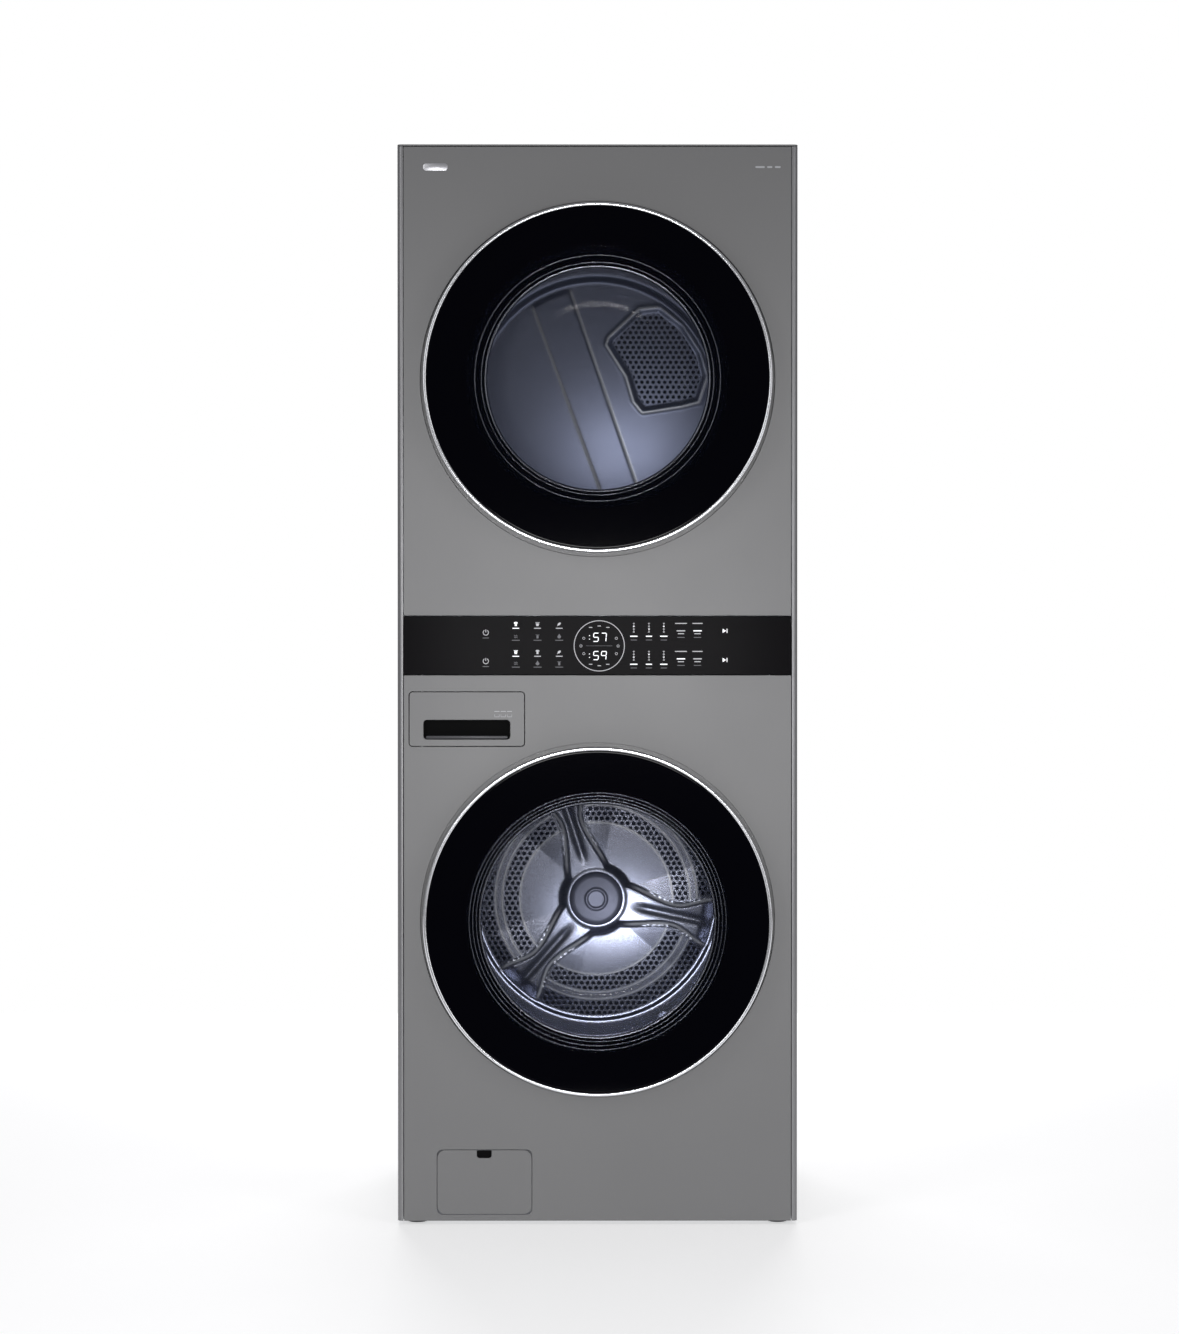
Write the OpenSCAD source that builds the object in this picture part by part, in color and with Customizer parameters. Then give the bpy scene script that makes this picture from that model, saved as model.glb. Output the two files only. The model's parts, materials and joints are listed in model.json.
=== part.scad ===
// Laundry tower: a clothes dryer over a front-loading washer in one cabinet.
// Front faces -Y, +X is to the right, the floor is z = 0, the origin is under the middle of the box.

/* [Cabinet] */
// Width of the cabinet
cabinet_w = 700; // [690:1:760]
// Depth of the steel cabinet, front panel to rear panel
cabinet_d = 700; // [690:1:860]
// Height from the floor to the top
total_h = 1890; // [1880:1:2280]
// How far the doors stand out of the front
door_proud = 50; // [50:1:60]
// How far the rear ports stand out of the back
port_proud = 20; // [10:1:40]
// Thickness of the sheet metal
sheet = 1.5; // [1:0.1:2]
// Width of the side panels' front return
return_w = 10; // [8:1:16]
// Outer radius of the cabinet's upright corners
corner_r = 7; // [4:1:9]
// Seam between neighbouring panels
seam = 1; // [0.6:0.1:2]
// Height of the cabinet's lower edge over the floor
base_z = 6; // [5:1:12]

/* [Control panel] */
// Height of the control panel's lower edge
fascia_z0 = 963; // [950:1:975]
// Height of the control panel's upper edge
fascia_z1 = 1066; // [1056:1:1080]
// Thickness of the control panel's glass
fascia_t = 4; // [3:0.5:6]

/* [Doors] */
// Outer radius of both doors
door_r = 304; // [280:1:306]
// Height of the dryer door's centre
dryer_z = 1480; // [1472:1:1490]
// Height of the washer door's centre
washer_z = 534; // [520:1:536]
// Radius of the dryer door's window
dryer_window_r = 196; // [180:1:200]
// Radius of the washer door's window
washer_window_r = 206; // [190:1:208]
// Width of the bright trim ring
trim_w = 6; // [4:0.5:10]
// Thickness of the outer door glass
glass_t = 4; // [3:0.5:5]
// How far the dryer's glass bowl reaches in
dryer_bowl_d = 70; // [50:1:80]
// How far the washer's glass bowl reaches in
washer_bowl_d = 105; // [80:1:110]
// Depth of the dish round each door opening
dish_d = 8; // [6:0.5:10]
// Radius of the dryer's door opening
dryer_opening_r = 240; // [232:1:250]
// Radius of the washer's door opening
washer_opening_r = 228; // [224:1:236]

/* [Dryer] */
// Outer radius of the dryer drum
dryer_drum_r = 315; // [280:1:318]
// Depth of the dryer drum
dryer_drum_d = 560; // [440:1:570]
// Radius of the exhaust outlet
exhaust_r = 50.8; // [48:0.1:52]
// Radius of the motor's body
motor_r = 52; // [45:1:58]
// Radius of the blower wheel
blower_r = 60; // [50:1:64]

/* [Washer] */
// Outer radius of the washer drum
washer_drum_r = 288; // [250:1:292]
// Depth of the washer drum
washer_drum_d = 455; // [380:1:460]
// Outer radius of the tub
tub_r = 308; // [300:1:312]
// Thickness of the tub's wall
tub_t = 4; // [3:0.5:6]
// Radius of the drum shaft
shaft_r = 15; // [12:0.5:20]

/* [Detergent drawer] */
// Left edge of the drawer's front
drawer_x0 = -329.5; // [-335:0.5:-325]
// Width of the drawer's front
drawer_w = 201.5; // [180:0.5:206]
// Lower edge of the drawer's front
drawer_z0 = 838; // [836:1:842]
// Height of the drawer's front
drawer_h = 95; // [85:1:100]
// Depth of the drawer's box
drawer_d = 225; // [160:1:240]

/* [Filter door and feet] */
// Left edge of the filter door
filter_x0 = -280.5; // [-290:0.5:-270]
// Width of the filter door
filter_w = 165; // [150:1:176]
// Lower edge of the filter door
filter_z0 = 18; // [16:1:24]
// Height of the filter door
filter_h = 112; // [100:1:120]
// Radius of a levelling foot
foot_r = 17; // [14:1:20]
// Distance of a foot's centre from the cabinet's side
foot_inset = 33; // [30:1:50]

/* [Hidden] */
$fn = 96;

graphite = [0.44, 0.44, 0.46];
black = [0.05, 0.05, 0.06];
steel = [0.7, 0.71, 0.73];
grey_plastic = [0.6, 0.61, 0.63];

e = 1;
side_x = cabinet_w / 2;
front_y = -(door_proud + cabinet_d + port_proud) / 2 + door_proud;
back_y = front_y + cabinet_d;
door_y = front_y - door_proud;
in_x = side_x - sheet;
panel_x = side_x - return_w - seam;
dish_y = front_y + dish_d;
dish_r = door_r + 8;
run = 0.05;
air = 1;

// Solids that lie along Y
module rod_y(x, z, y0, y1, r) {
    translate([x, y0, z]) rotate([-90, 0, 0]) cylinder(h = y1 - y0, r = r);
}
module rod_x(x0, x1, y, z, r) {
    translate([x0, y, z]) rotate([0, 90, 0]) cylinder(h = x1 - x0, r = r);
}
module tube_y(x, z, y0, y1, ro, ri) {
    difference() {
        rod_y(x, z, y0, y1, ro);
        rod_y(x, z, y0 - e, y1 + e, ri);
    }
}
// Turns a profile of [radius, y] points about an axis along Y
module lathe_y(x, z) {
    translate([x, 0, z]) rotate([90, 0, 0]) rotate_extrude($fn = 144) mirror([0, 1]) children();
}
module block(x0, x1, y0, y1, z0, z1) {
    translate([x0, y0, z0]) cube([x1 - x0, y1 - y0, z1 - z0]);
}
module round_rect(x0, x1, z0, z1, r) {
    translate([x0 + r, z0]) square([x1 - x0 - 2 * r, z1 - z0]);
    translate([x0, z0 + r]) square([x1 - x0, z1 - z0 - 2 * r]);
    for (x = [x0 + r, x1 - r])
        for (z = [z0 + r, z1 - r])
            translate([x, z]) circle(r = r, $fn = 48);
}
// A plate in the XZ plane with round corners, from y0 to y1
module plate_y(x0, x1, z0, z1, y0, y1, r) {
    translate([0, y1, 0]) rotate([90, 0, 0]) linear_extrude(height = y1 - y0) round_rect(x0, x1, z0, z1, r);
}

// ---- Cabinet ----
top_t = 3;
panel_y1 = front_y + sheet;
flange_d = 14;
rear_gap = 0.2;
rear_y1 = back_y - sheet - rear_gap;
rear_y0 = rear_y1 - sheet;
inner_y0 = front_y + flange_d + 0.5;
inner_y1 = rear_y0 - 0.5;
inner_x = in_x - 0.5;
base_t = 2;
foot_x = side_x - foot_inset;
foot_front_y = front_y + 38;
foot_rear_y = back_y - 50;
foot_stem_r = 6;
shelf_z = fascia_z1 + 4;
shelf_t = 2;
shelf_top = shelf_z + shelf_t;

module quarter(r) {
    translate([side_x - corner_r, front_y + corner_r]) intersection() {
        circle(r = r);
        translate([-0.01, -r - e]) square([r + e, r + e + 0.01]);
    }
}
module side_panel() {
    z1 = total_h - top_t - 0.3;
    ri = corner_r - sheet;
    translate([0, 0, base_z]) linear_extrude(height = z1 - base_z) difference() {
        union() {
            translate([side_x - return_w, front_y]) square([return_w - corner_r, cabinet_d]);
            translate([side_x - return_w, front_y + corner_r]) square([return_w, cabinet_d - corner_r]);
            quarter(corner_r);
        }
        translate([side_x - return_w - e, panel_y1]) square([return_w - corner_r + e, cabinet_d - 2 * sheet]);
        translate([side_x - return_w - e, front_y + corner_r])
            square([return_w + e - sheet, cabinet_d - corner_r - sheet]);
        quarter(ri);
    }
}
module side_panel_right() { color(graphite) side_panel(); }
module side_panel_left() { color(graphite) mirror([1, 0, 0]) side_panel(); }

module top_panel() {
    skirt_z = total_h - top_t - 15;
    color(graphite) {
        translate([0, 0, total_h - top_t]) linear_extrude(height = top_t) {
            translate([-side_x, front_y + corner_r]) square([cabinet_w, cabinet_d - corner_r]);
            translate([-side_x + corner_r, front_y]) square([cabinet_w - 2 * corner_r, cabinet_d]);
            for (s = [-1, 1]) translate([s * (side_x - corner_r), front_y + corner_r]) circle(r = corner_r);
        }
        difference() {
            block(-inner_x, inner_x, inner_y0, inner_y1, skirt_z, total_h - top_t);
            block(-inner_x + sheet, inner_x - sheet, inner_y0 + sheet, inner_y1 - sheet,
                skirt_z - e, total_h);
        }
    }
}

module foot_places() {
    for (x = [-foot_x, foot_x])
        for (y = [foot_front_y, foot_rear_y])
            translate([x, y, 0]) children();
}
module base_frame() {
    z0 = base_z + 1;
    wall_h = 42;
    front_h = 5;
    nut_wall = 7;
    nut_h = 20;
    color(steel) difference() {
        union() {
            block(-inner_x, inner_x, inner_y0, inner_y1, z0, z0 + base_t);
            for (s = [-1, 1]) translate([s * (inner_x - base_t / 2), 0, 0])
                block(-base_t / 2, base_t / 2, inner_y0, inner_y1, z0, z0 + wall_h);
            block(-inner_x, inner_x, inner_y0, inner_y0 + base_t, z0, z0 + front_h);
            block(-inner_x, inner_x, inner_y1 - base_t, inner_y1, z0, z0 + wall_h);
            foot_places() cylinder(h = z0 + nut_h, r = foot_stem_r + nut_wall);
        }
        foot_places() translate([0, 0, -e]) cylinder(h = z0 + nut_h + 2 * e, r = foot_stem_r + run);
        foot_places() translate([0, 0, -e]) cylinder(h = z0 + e, r = foot_r + air);
    }
}
module foot(x, y) {
    pad_h = base_z - 0.5;
    stem_h = 48;
    color(black) translate([x, y, 0]) {
        cylinder(h = pad_h, r = foot_r);
        cylinder(h = stem_h, r = foot_stem_r);
    }
}
module foot_front_left() { foot(-foot_x, foot_front_y); }
module foot_front_right() { foot(foot_x, foot_front_y); }
module foot_rear_left() { foot(-foot_x, foot_rear_y); }
module foot_rear_right() { foot(foot_x, foot_rear_y); }

module divider_shelf() {
    y0 = board_y1 + 6;
    lip = 22;
    hanger_r = 5;
    bracket_w = 12;
    bracket_y = pulley_y0 - 20;
    color(steel) {
        block(-inner_x, inner_x, y0, inner_y1, shelf_z, shelf_top);
        for (y = [y0, inner_y1 - shelf_t]) block(-inner_x, inner_x, y, y + shelf_t, shelf_z - lip, shelf_z);
        for (s = [-1, 1])
            translate([s * spring_x, spring_y, spring_z1]) cylinder(h = shelf_z - spring_z1, r = hanger_r);
        block(idler_pivot_x - bracket_w, idler_pivot_x + bracket_w, bracket_y - 4, bracket_y,
            shelf_top, idler_pivot_z + bracket_w);
        rod_y(idler_pivot_x, idler_pivot_z, bracket_y, pulley_y0 + 1, idler_pin_r);
    }
}

// A front panel with a dish and a collar round its door opening
module front_panel(z0, z1, door_z, opening_r, collar_d) {
    difference() {
        union() {
            block(-panel_x, panel_x, front_y, panel_y1, z0, z1);
            for (s = [-1, 1])
                translate([s * (panel_x - sheet / 2), 0, 0])
                    block(-sheet / 2, sheet / 2, front_y, front_y + flange_d, z0, z1);
        }
        rod_y(0, door_z, front_y - e, panel_y1 + e, dish_r - sheet);
    }
    lathe_y(0, door_z) {
        translate([dish_r - sheet, front_y]) square([sheet, dish_d]);
        translate([opening_r, dish_y]) square([dish_r - opening_r, sheet]);
        translate([opening_r, dish_y]) square([sheet, collar_d]);
    }
}

lint_w = 200;
lint_y0 = front_y + 13;
lint_t = 12;
lint_gap = 2;
module dryer_front_panel() {
    collar = 20;
    color(graphite) difference() {
        front_panel(fascia_z1 + seam, total_h - top_t - seam, dryer_z, dryer_opening_r, collar);
        // Slot in the collar that the lint filter drops through
        block(-lint_w / 2 - lint_gap, lint_w / 2 + lint_gap, lint_y0 - 1, lint_y0 + lint_t + 1,
            dryer_z - dryer_opening_r - 10, dryer_z - dryer_opening_r + 60);
    }
}

hook_x = 262;
hook_slot_h = 15;
hook_slot_w = 26;
drawer_r = 6;
filter_r = 14;
// The opening's corners are tighter than the filter door's, so that its lower corners swing through
filter_opening_r = 10;
module washer_front_panel() {
    collar = 12;
    color(graphite) difference() {
        front_panel(base_z, fascia_z0 - seam, washer_z, washer_opening_r, collar);
        plate_y(drawer_x0 - seam, drawer_x0 + drawer_w + seam, drawer_z0 - seam, drawer_z0 + drawer_h + seam,
            front_y - e, panel_y1 + e, drawer_r + seam);
        plate_y(filter_x0 - seam, filter_x0 + filter_w + seam, filter_z0 - seam, filter_z0 + filter_h + seam,
            front_y - e, panel_y1 + e, filter_opening_r);
        block(hook_x - hook_slot_w / 2, hook_x + hook_slot_w / 2, front_y, dish_y + 5,
            washer_z - hook_slot_h, washer_z + hook_slot_h);
    }
}

module control_fascia() {
    color(black) block(-panel_x, panel_x, front_y, front_y + fascia_t, fascia_z0, fascia_z1);
}
board_y0 = front_y + fascia_t;
board_y1 = board_y0 + 40;
module control_board() {
    tray_x = panel_x - 12;
    wall = 3;
    inset = 6;
    back_t = 8;
    board_x = 180;
    color(grey_plastic) difference() {
        block(-tray_x, tray_x, board_y0, board_y1, fascia_z0 + inset, fascia_z1 - inset);
        block(-tray_x + wall, tray_x - wall, board_y0 + back_t, board_y1 + e,
            fascia_z0 + inset + wall, fascia_z1 - inset - wall);
    }
    color("darkgreen") block(-board_x, board_x, board_y0 + back_t, board_y0 + back_t + 4,
        fascia_z0 + 16, fascia_z1 - 16);
}

exhaust_x = 225;
exhaust_z = shelf_top + exhaust_r + 18;
valve_x = [170, 235];
valve_z = 880;
valve_r = 13.2;
drain_x = -300;
drain_z = 75;
drain_r = 14;
port_step = 0.6;
rear_z0 = base_z + 2;
rear_z1 = total_h - top_t - seam;
vent_pitch = 40;
vent_h = 8;
vent_w = 220;
module vents(z0, count) {
    for (i = [0:count - 1])
        translate([0, 0, z0 + i * vent_pitch])
            block(-vent_w / 2, vent_w / 2, rear_y0 - e, rear_y1 + e, 0, vent_h);
}
module rear_panel() {
    color(steel) difference() {
        block(-panel_x, panel_x, rear_y0, rear_y1, rear_z0, rear_z1);
        rod_y(exhaust_x, exhaust_z, rear_y0 - e, rear_y1 + e, exhaust_r + air);
        for (x = valve_x) rod_y(x, valve_z, rear_y0 - e, rear_y1 + e, valve_r + air);
        rod_y(drain_x, drain_z, rear_y0 - e, rear_y1 + e, drain_r + air);
        vents(shelf_top + 230, 12);
        vents(axis_z - 230, 6);
    }
}
module rear_screws() {
    head_r = 5;
    head_h = 2.5;
    margin = 30;
    rows = 7;
    pitch = (rear_z1 - rear_z0 - 2 * margin) / rows;
    color(steel)
        for (x = [-panel_x + 14, panel_x - 14])
            for (i = [0:rows])
                rod_y(x, rear_z0 + margin + i * pitch, rear_y1, rear_y1 + head_h, head_r);
}
// The cover over the mains terminals, with a hole for the cord below and its terminals inside
module terminal_block() {
    x0 = -190;
    w = 90;
    h = 110;
    wall = 2;
    y1 = rear_y1 + 15;
    z0 = shelf_top + 48;
    color(steel) difference() {
        block(x0, x0 + w, rear_y1, y1, z0, z0 + h);
        block(x0 + wall, x0 + w - wall, rear_y1 - e, y1 - wall, z0 + wall, z0 + h - wall);
        translate([x0 + w / 2, rear_y1 + 7, z0 - e]) cylinder(h = wall + 2 * e, r = 5.5);
    }
    color(black) block(x0 + 15, x0 + w - 15, rear_y1, rear_y1 + 8, z0 + 50, z0 + 80);
}

// ---- Dryer ----
bulkhead_y = front_y + 33;
bulkhead_t = 2;
drum_y0 = bulkhead_y + 6;
drum_y1 = drum_y0 + dryer_drum_d;
rear_bulk_y = drum_y1 + 6;
collar_r = dryer_drum_r - 9;
bulk_x = in_x - 2;
bulk_z1 = total_h - top_t - 18;
motor_x = -in_x + 93;
motor_z = shelf_top + 93;
roller_r = 30;
roller_angle = 50;
roller_axle_r = 6;
roller_d = dryer_drum_r + 0.3 + roller_r;
roller_x = roller_d * sin(roller_angle);
roller_z = dryer_z - roller_d * cos(roller_angle);
roller_y0 = rear_bulk_y - 55;
blower_y0 = bulkhead_y + bulkhead_t + 2;
blower_y1 = blower_y0 + 58;
volute_r = blower_r + 16;
duct_t = 2.5;

module bulkhead_sheet(y0) {
    block(-bulk_x, bulk_x, y0, y0 + bulkhead_t, shelf_top + 1, bulk_z1);
}
module dryer_front_bulkhead() {
    color(steel) {
        difference() {
            bulkhead_sheet(bulkhead_y);
            rod_y(0, dryer_z, bulkhead_y - e, bulkhead_y + bulkhead_t + e, dryer_opening_r + 3);
            rod_y(motor_x, motor_z, bulkhead_y - e, bulkhead_y + bulkhead_t + e, volute_r - 20);
        }
        lathe_y(0, dryer_z) {
            translate([collar_r - 3, bulkhead_y + bulkhead_t]) square([3, 30]);
            translate([dryer_opening_r + 3, bulkhead_y]) square([3, 14]);
        }
    }
}
module dryer_rear_bulkhead() {
    color(steel) {
        difference() {
            bulkhead_sheet(rear_bulk_y);
            for (a = [-50:20:50])
                for (r = [120:24:216])
                    rod_y(r * cos(a), dryer_z + r * sin(a), rear_bulk_y - e, rear_bulk_y + bulkhead_t + e, 6);
            rod_y(exhaust_x, exhaust_z, rear_bulk_y - e, rear_bulk_y + bulkhead_t + e, exhaust_r + air);
        }
        lathe_y(0, dryer_z) translate([collar_r - 3, rear_bulk_y - 30]) square([3, 30]);
        for (s = [-1, 1]) rod_y(s * roller_x, roller_z, roller_y0 - 5, rear_bulk_y, roller_axle_r);
    }
}
module roller(s) {
    color(black) tube_y(s * roller_x, roller_z, roller_y0, roller_y0 + 30, roller_r, roller_axle_r + run);
}
module roller_left() { roller(-1); }
module roller_right() { roller(1); }

module lint_filter() {
    z1 = dryer_z - dryer_opening_r + 1;
    z0 = z1 - 90;
    w = lint_w / 2;
    rim = 5;
    mesh_t = 1.5;
    color(grey_plastic) difference() {
        block(-w, w, lint_y0, lint_y0 + lint_t, z0, z1);
        for (s = [-1, 1])
            translate([s * w / 2, 0, 0])
                block(-w / 2 + rim, w / 2 - rim, lint_y0 + mesh_t, lint_y0 + lint_t + e, z0 + 6, z1 - 8);
    }
}

module blower_housing() {
    x1 = exhaust_x + exhaust_r + 4;
    z0 = shelf_top + 3;
    low_z = z0 + 60;
    box_x = exhaust_x - exhaust_r - 4;
    box_z = exhaust_z + exhaust_r + 4;
    lint_z0 = dryer_z - dryer_opening_r - 97;
    fy0 = lint_y0 - 3;
    fy1 = bulkhead_y - 1;
    color(grey_plastic) {
        difference() {
            union() {
                rod_y(motor_x, motor_z, blower_y0, blower_y1, volute_r);
                block(motor_x, x1, blower_y0, blower_y1, z0, low_z);
                block(box_x, x1, blower_y0, blower_y1, z0, box_z);
            }
            rod_y(motor_x, motor_z, blower_y0 + duct_t, blower_y1 - duct_t, volute_r - duct_t);
            rod_y(motor_x, motor_z, blower_y0 - e, blower_y1 - 10, volute_r - 30);
            rod_y(motor_x, motor_z, blower_y1 - 10, blower_y1 + e, 14);
            block(motor_x, x1 - duct_t, blower_y0 + duct_t, blower_y1 - duct_t, z0 + duct_t, low_z - duct_t);
            block(box_x + duct_t, x1 - duct_t, blower_y0 + duct_t, blower_y1 - duct_t,
                z0 + duct_t, box_z - duct_t);
            rod_y(exhaust_x, exhaust_z, blower_y1 - 10, blower_y1 + e, exhaust_r - 1.5);
        }
        // Lint duct from the filter pocket down to the blower's eye
        difference() {
            union() {
                block(-lint_w / 2 - 4, lint_w / 2 + 4, fy0, fy1, lint_z0, lint_z0 + 85);
                block(motor_x - 60, lint_w / 2 + 4, fy0, fy1, z0, lint_z0 + 10);
                block(motor_x - 60, motor_x + 60, fy0, fy1, z0, motor_z + 60);
            }
            block(-lint_w / 2 - 1, lint_w / 2 + 1, fy0 + 2, fy1 - 2, lint_z0 + 2, lint_z0 + 90);
            block(motor_x - 58, lint_w / 2 + 2, fy0 + 2, fy1 - 2, z0 + 2, lint_z0 + 8);
            block(motor_x - 58, motor_x + 58, fy0 + 2, fy1 - 2, z0 + 2, motor_z + 58);
            rod_y(motor_x, motor_z, fy1 - 5, fy1 + e, volute_r - 30);
        }
    }
}
module exhaust_duct() {
    color(steel) difference() {
        union() {
            rod_y(exhaust_x, exhaust_z, blower_y1 + 0.5, back_y, exhaust_r - port_step);
            rod_y(exhaust_x, exhaust_z, back_y, back_y + port_proud, exhaust_r);
        }
        rod_y(exhaust_x, exhaust_z, blower_y1, back_y + port_proud + e, exhaust_r - 2);
    }
}
module heater_box() {
    y0 = rear_bulk_y + bulkhead_t;
    y1 = min(y0 + 60, rear_y0 - 8);
    x0 = 30;
    x1 = 260;
    h = 190;
    wall = 3;
    slot_h = 10;
    color(steel) difference() {
        block(x0, x1, y0, y1, dryer_z - h, dryer_z + h);
        block(x0 + wall, x1 - wall, y0 - e, y1 - wall, dryer_z - h + wall, dryer_z + h - wall);
        for (i = [0:5]) translate([0, 0, dryer_z - h + 30 + i * 24])
            block(x0 + 30, x1 - 30, y1 - wall - e, y1 + e, 0, slot_h);
    }
    color("silver") for (i = [-3:3]) rod_y((x0 + x1) / 2, dryer_z + i * 45, y0 + 8, y1 - wall, 8);
}

shaft2_r = 8;
motor_y0 = blower_y1 + 14;
motor_y1 = motor_y0 + 150;
pulley_y0 = motor_y1 + 12;
belt_w = 14;
belt_t = 2.5;
pulley_r = 10;
belt_gap = 0.3;
module dryer_motor() {
    foot_z = shelf_top;
    color("dimgray") difference() {
        union() {
            rod_y(motor_x, motor_z, motor_y0, motor_y1, motor_r);
            block(motor_x - 40, motor_x + 40, motor_y0 + 20, motor_y1 - 20, foot_z, motor_z - motor_r + 14);
        }
        rod_y(motor_x, motor_z, motor_y0 - e, motor_y1 + e, shaft2_r + run);
    }
}
module motor_shaft() {
    wheel_y0 = blower_y0 + 8;
    wheel_y1 = blower_y1 - 14;
    color(steel) {
        rod_y(motor_x, motor_z, wheel_y0 + 6, pulley_y0 + belt_w + 6, shaft2_r);
        rod_y(motor_x, motor_z, pulley_y0, pulley_y0 + belt_w, pulley_r);
        for (y = [pulley_y0 - 2.5, pulley_y0 + belt_w]) rod_y(motor_x, motor_z, y, y + 2.5, pulley_r + 5);
    }
    color(grey_plastic) {
        rod_y(motor_x, motor_z, wheel_y1 - 3, wheel_y1, blower_r);
        tube_y(motor_x, motor_z, wheel_y0, wheel_y0 + 3, blower_r, blower_r - 10);
        for (i = [0:15])
            translate([motor_x, 0, motor_z]) rotate([0, i * 22.5, 0])
                block(blower_r - 18, blower_r - 1, wheel_y0, wheel_y1 - 2, -1, 1);
    }
}
// The belt runs round the drum and the motor's pulley along their outer tangents
belt_dx = motor_x;
belt_dz = motor_z - dryer_z;
belt_len = sqrt(belt_dx * belt_dx + belt_dz * belt_dz);
belt_dir = atan2(belt_dz, belt_dx);
belt_wrap = acos((dryer_drum_r - pulley_r) / belt_len);
function arc(cx, cz, r, a0, a1, n) = [for (i = [0:n])
    let (a = a0 + (a1 - a0) * i / n) [cx + r * cos(a), cz + r * sin(a)]];
module belt_outline(grow) {
    a0 = belt_dir + belt_wrap;
    a1 = belt_dir - belt_wrap;
    polygon(concat(arc(0, dryer_z, dryer_drum_r + grow, a0, a1 + 360, 96),
        arc(motor_x, motor_z, pulley_r + grow, a1, a0, 16)));
}
module drive_belt() {
    color(black) translate([0, pulley_y0 + belt_w - 0.5, 0]) rotate([90, 0, 0])
        linear_extrude(height = belt_w - 1) difference() {
            belt_outline(belt_gap + belt_t);
            belt_outline(belt_gap);
        }
}
// The idler bears on the outside of the belt's lower run
idler_r = 18;
idler_pin_r = 5;
idler_s = 150;
idler_a = belt_dir + belt_wrap;
idler_d = dryer_drum_r + 2 * belt_gap + belt_t + idler_r;
idler_x = idler_d * cos(idler_a) + idler_s * sin(idler_a);
idler_z = dryer_z + idler_d * sin(idler_a) - idler_s * cos(idler_a);
idler_pivot_x = idler_x + 70;
idler_pivot_z = shelf_top + 26;
module idler_arm() {
    y0 = pulley_y0 - 14;
    hub_r = 9;
    a = atan2(idler_z - idler_pivot_z, idler_x - idler_pivot_x);
    len = sqrt(pow(idler_z - idler_pivot_z, 2) + pow(idler_x - idler_pivot_x, 2));
    color(steel) difference() {
        union() {
            translate([idler_pivot_x, 0, idler_pivot_z]) rotate([0, -a, 0])
                block(0, len, y0, y0 + 4, -8, 8);
            rod_y(idler_pivot_x, idler_pivot_z, y0, y0 + 14, hub_r);
            rod_y(idler_x, idler_z, y0, y0 + 30, idler_pin_r);
        }
        rod_y(idler_pivot_x, idler_pivot_z, y0 - e, y0 + 20, idler_pin_r + run);
    }
}
module idler_wheel() {
    color(black) tube_y(idler_x, idler_z, pulley_y0 - 1, pulley_y0 + belt_w + 1, idler_r, idler_pin_r + run);
}

drum_t = 1.5;
module lifter_bar(w0, w1, rise, r, y0, y1) {
    translate([0, y1, 0]) rotate([90, 0, 0]) linear_extrude(height = y1 - y0)
        polygon([[-w0, r], [w0, r], [w1, r - rise], [-w1, r - rise]]);
}
module dryer_drum() {
    rise = 62;
    w0 = 34;
    w1 = 12;
    wall = 2;
    y0 = drum_y0 + 45;
    y1 = drum_y1 - 45;
    r = dryer_drum_r - drum_t / 2;
    color(steel) {
        tube_y(0, dryer_z, drum_y0, drum_y1, dryer_drum_r, dryer_drum_r - drum_t);
        // Three hollow lifters, each with a vent hole in both ends
        for (i = [0:2]) translate([0, 0, dryer_z]) rotate([0, 120 * i + 12, 0]) intersection() {
            difference() {
                lifter_bar(w0, w1, rise, r, y0, y1);
                lifter_bar(w0 - 2 * wall, w1 - wall, rise - wall - drum_t, r - drum_t, y0 + wall, y1 - wall);
                rod_y(0, r - rise / 2, y0 - e, y1 + e, 4);
            }
            rod_y(0, 0, drum_y0, drum_y1, r);
        }
    }
}

// ---- Doors ----
door_back = front_y + 4;
frame_r = door_r - 1;
glass_r = door_r - trim_w - 0.4;
glass_y = door_y + 1.5;
flange_y = glass_y + glass_t + 0.3;
trim_d = 14;
rim_r = 228;
hinge_x = -(door_r - 10);
hinge_y = front_y - 24;
pin_r = 4;
knuckle_r = 8;
knuckle_h = 38;
notch_h = 52;
grip_h = 75;

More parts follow.
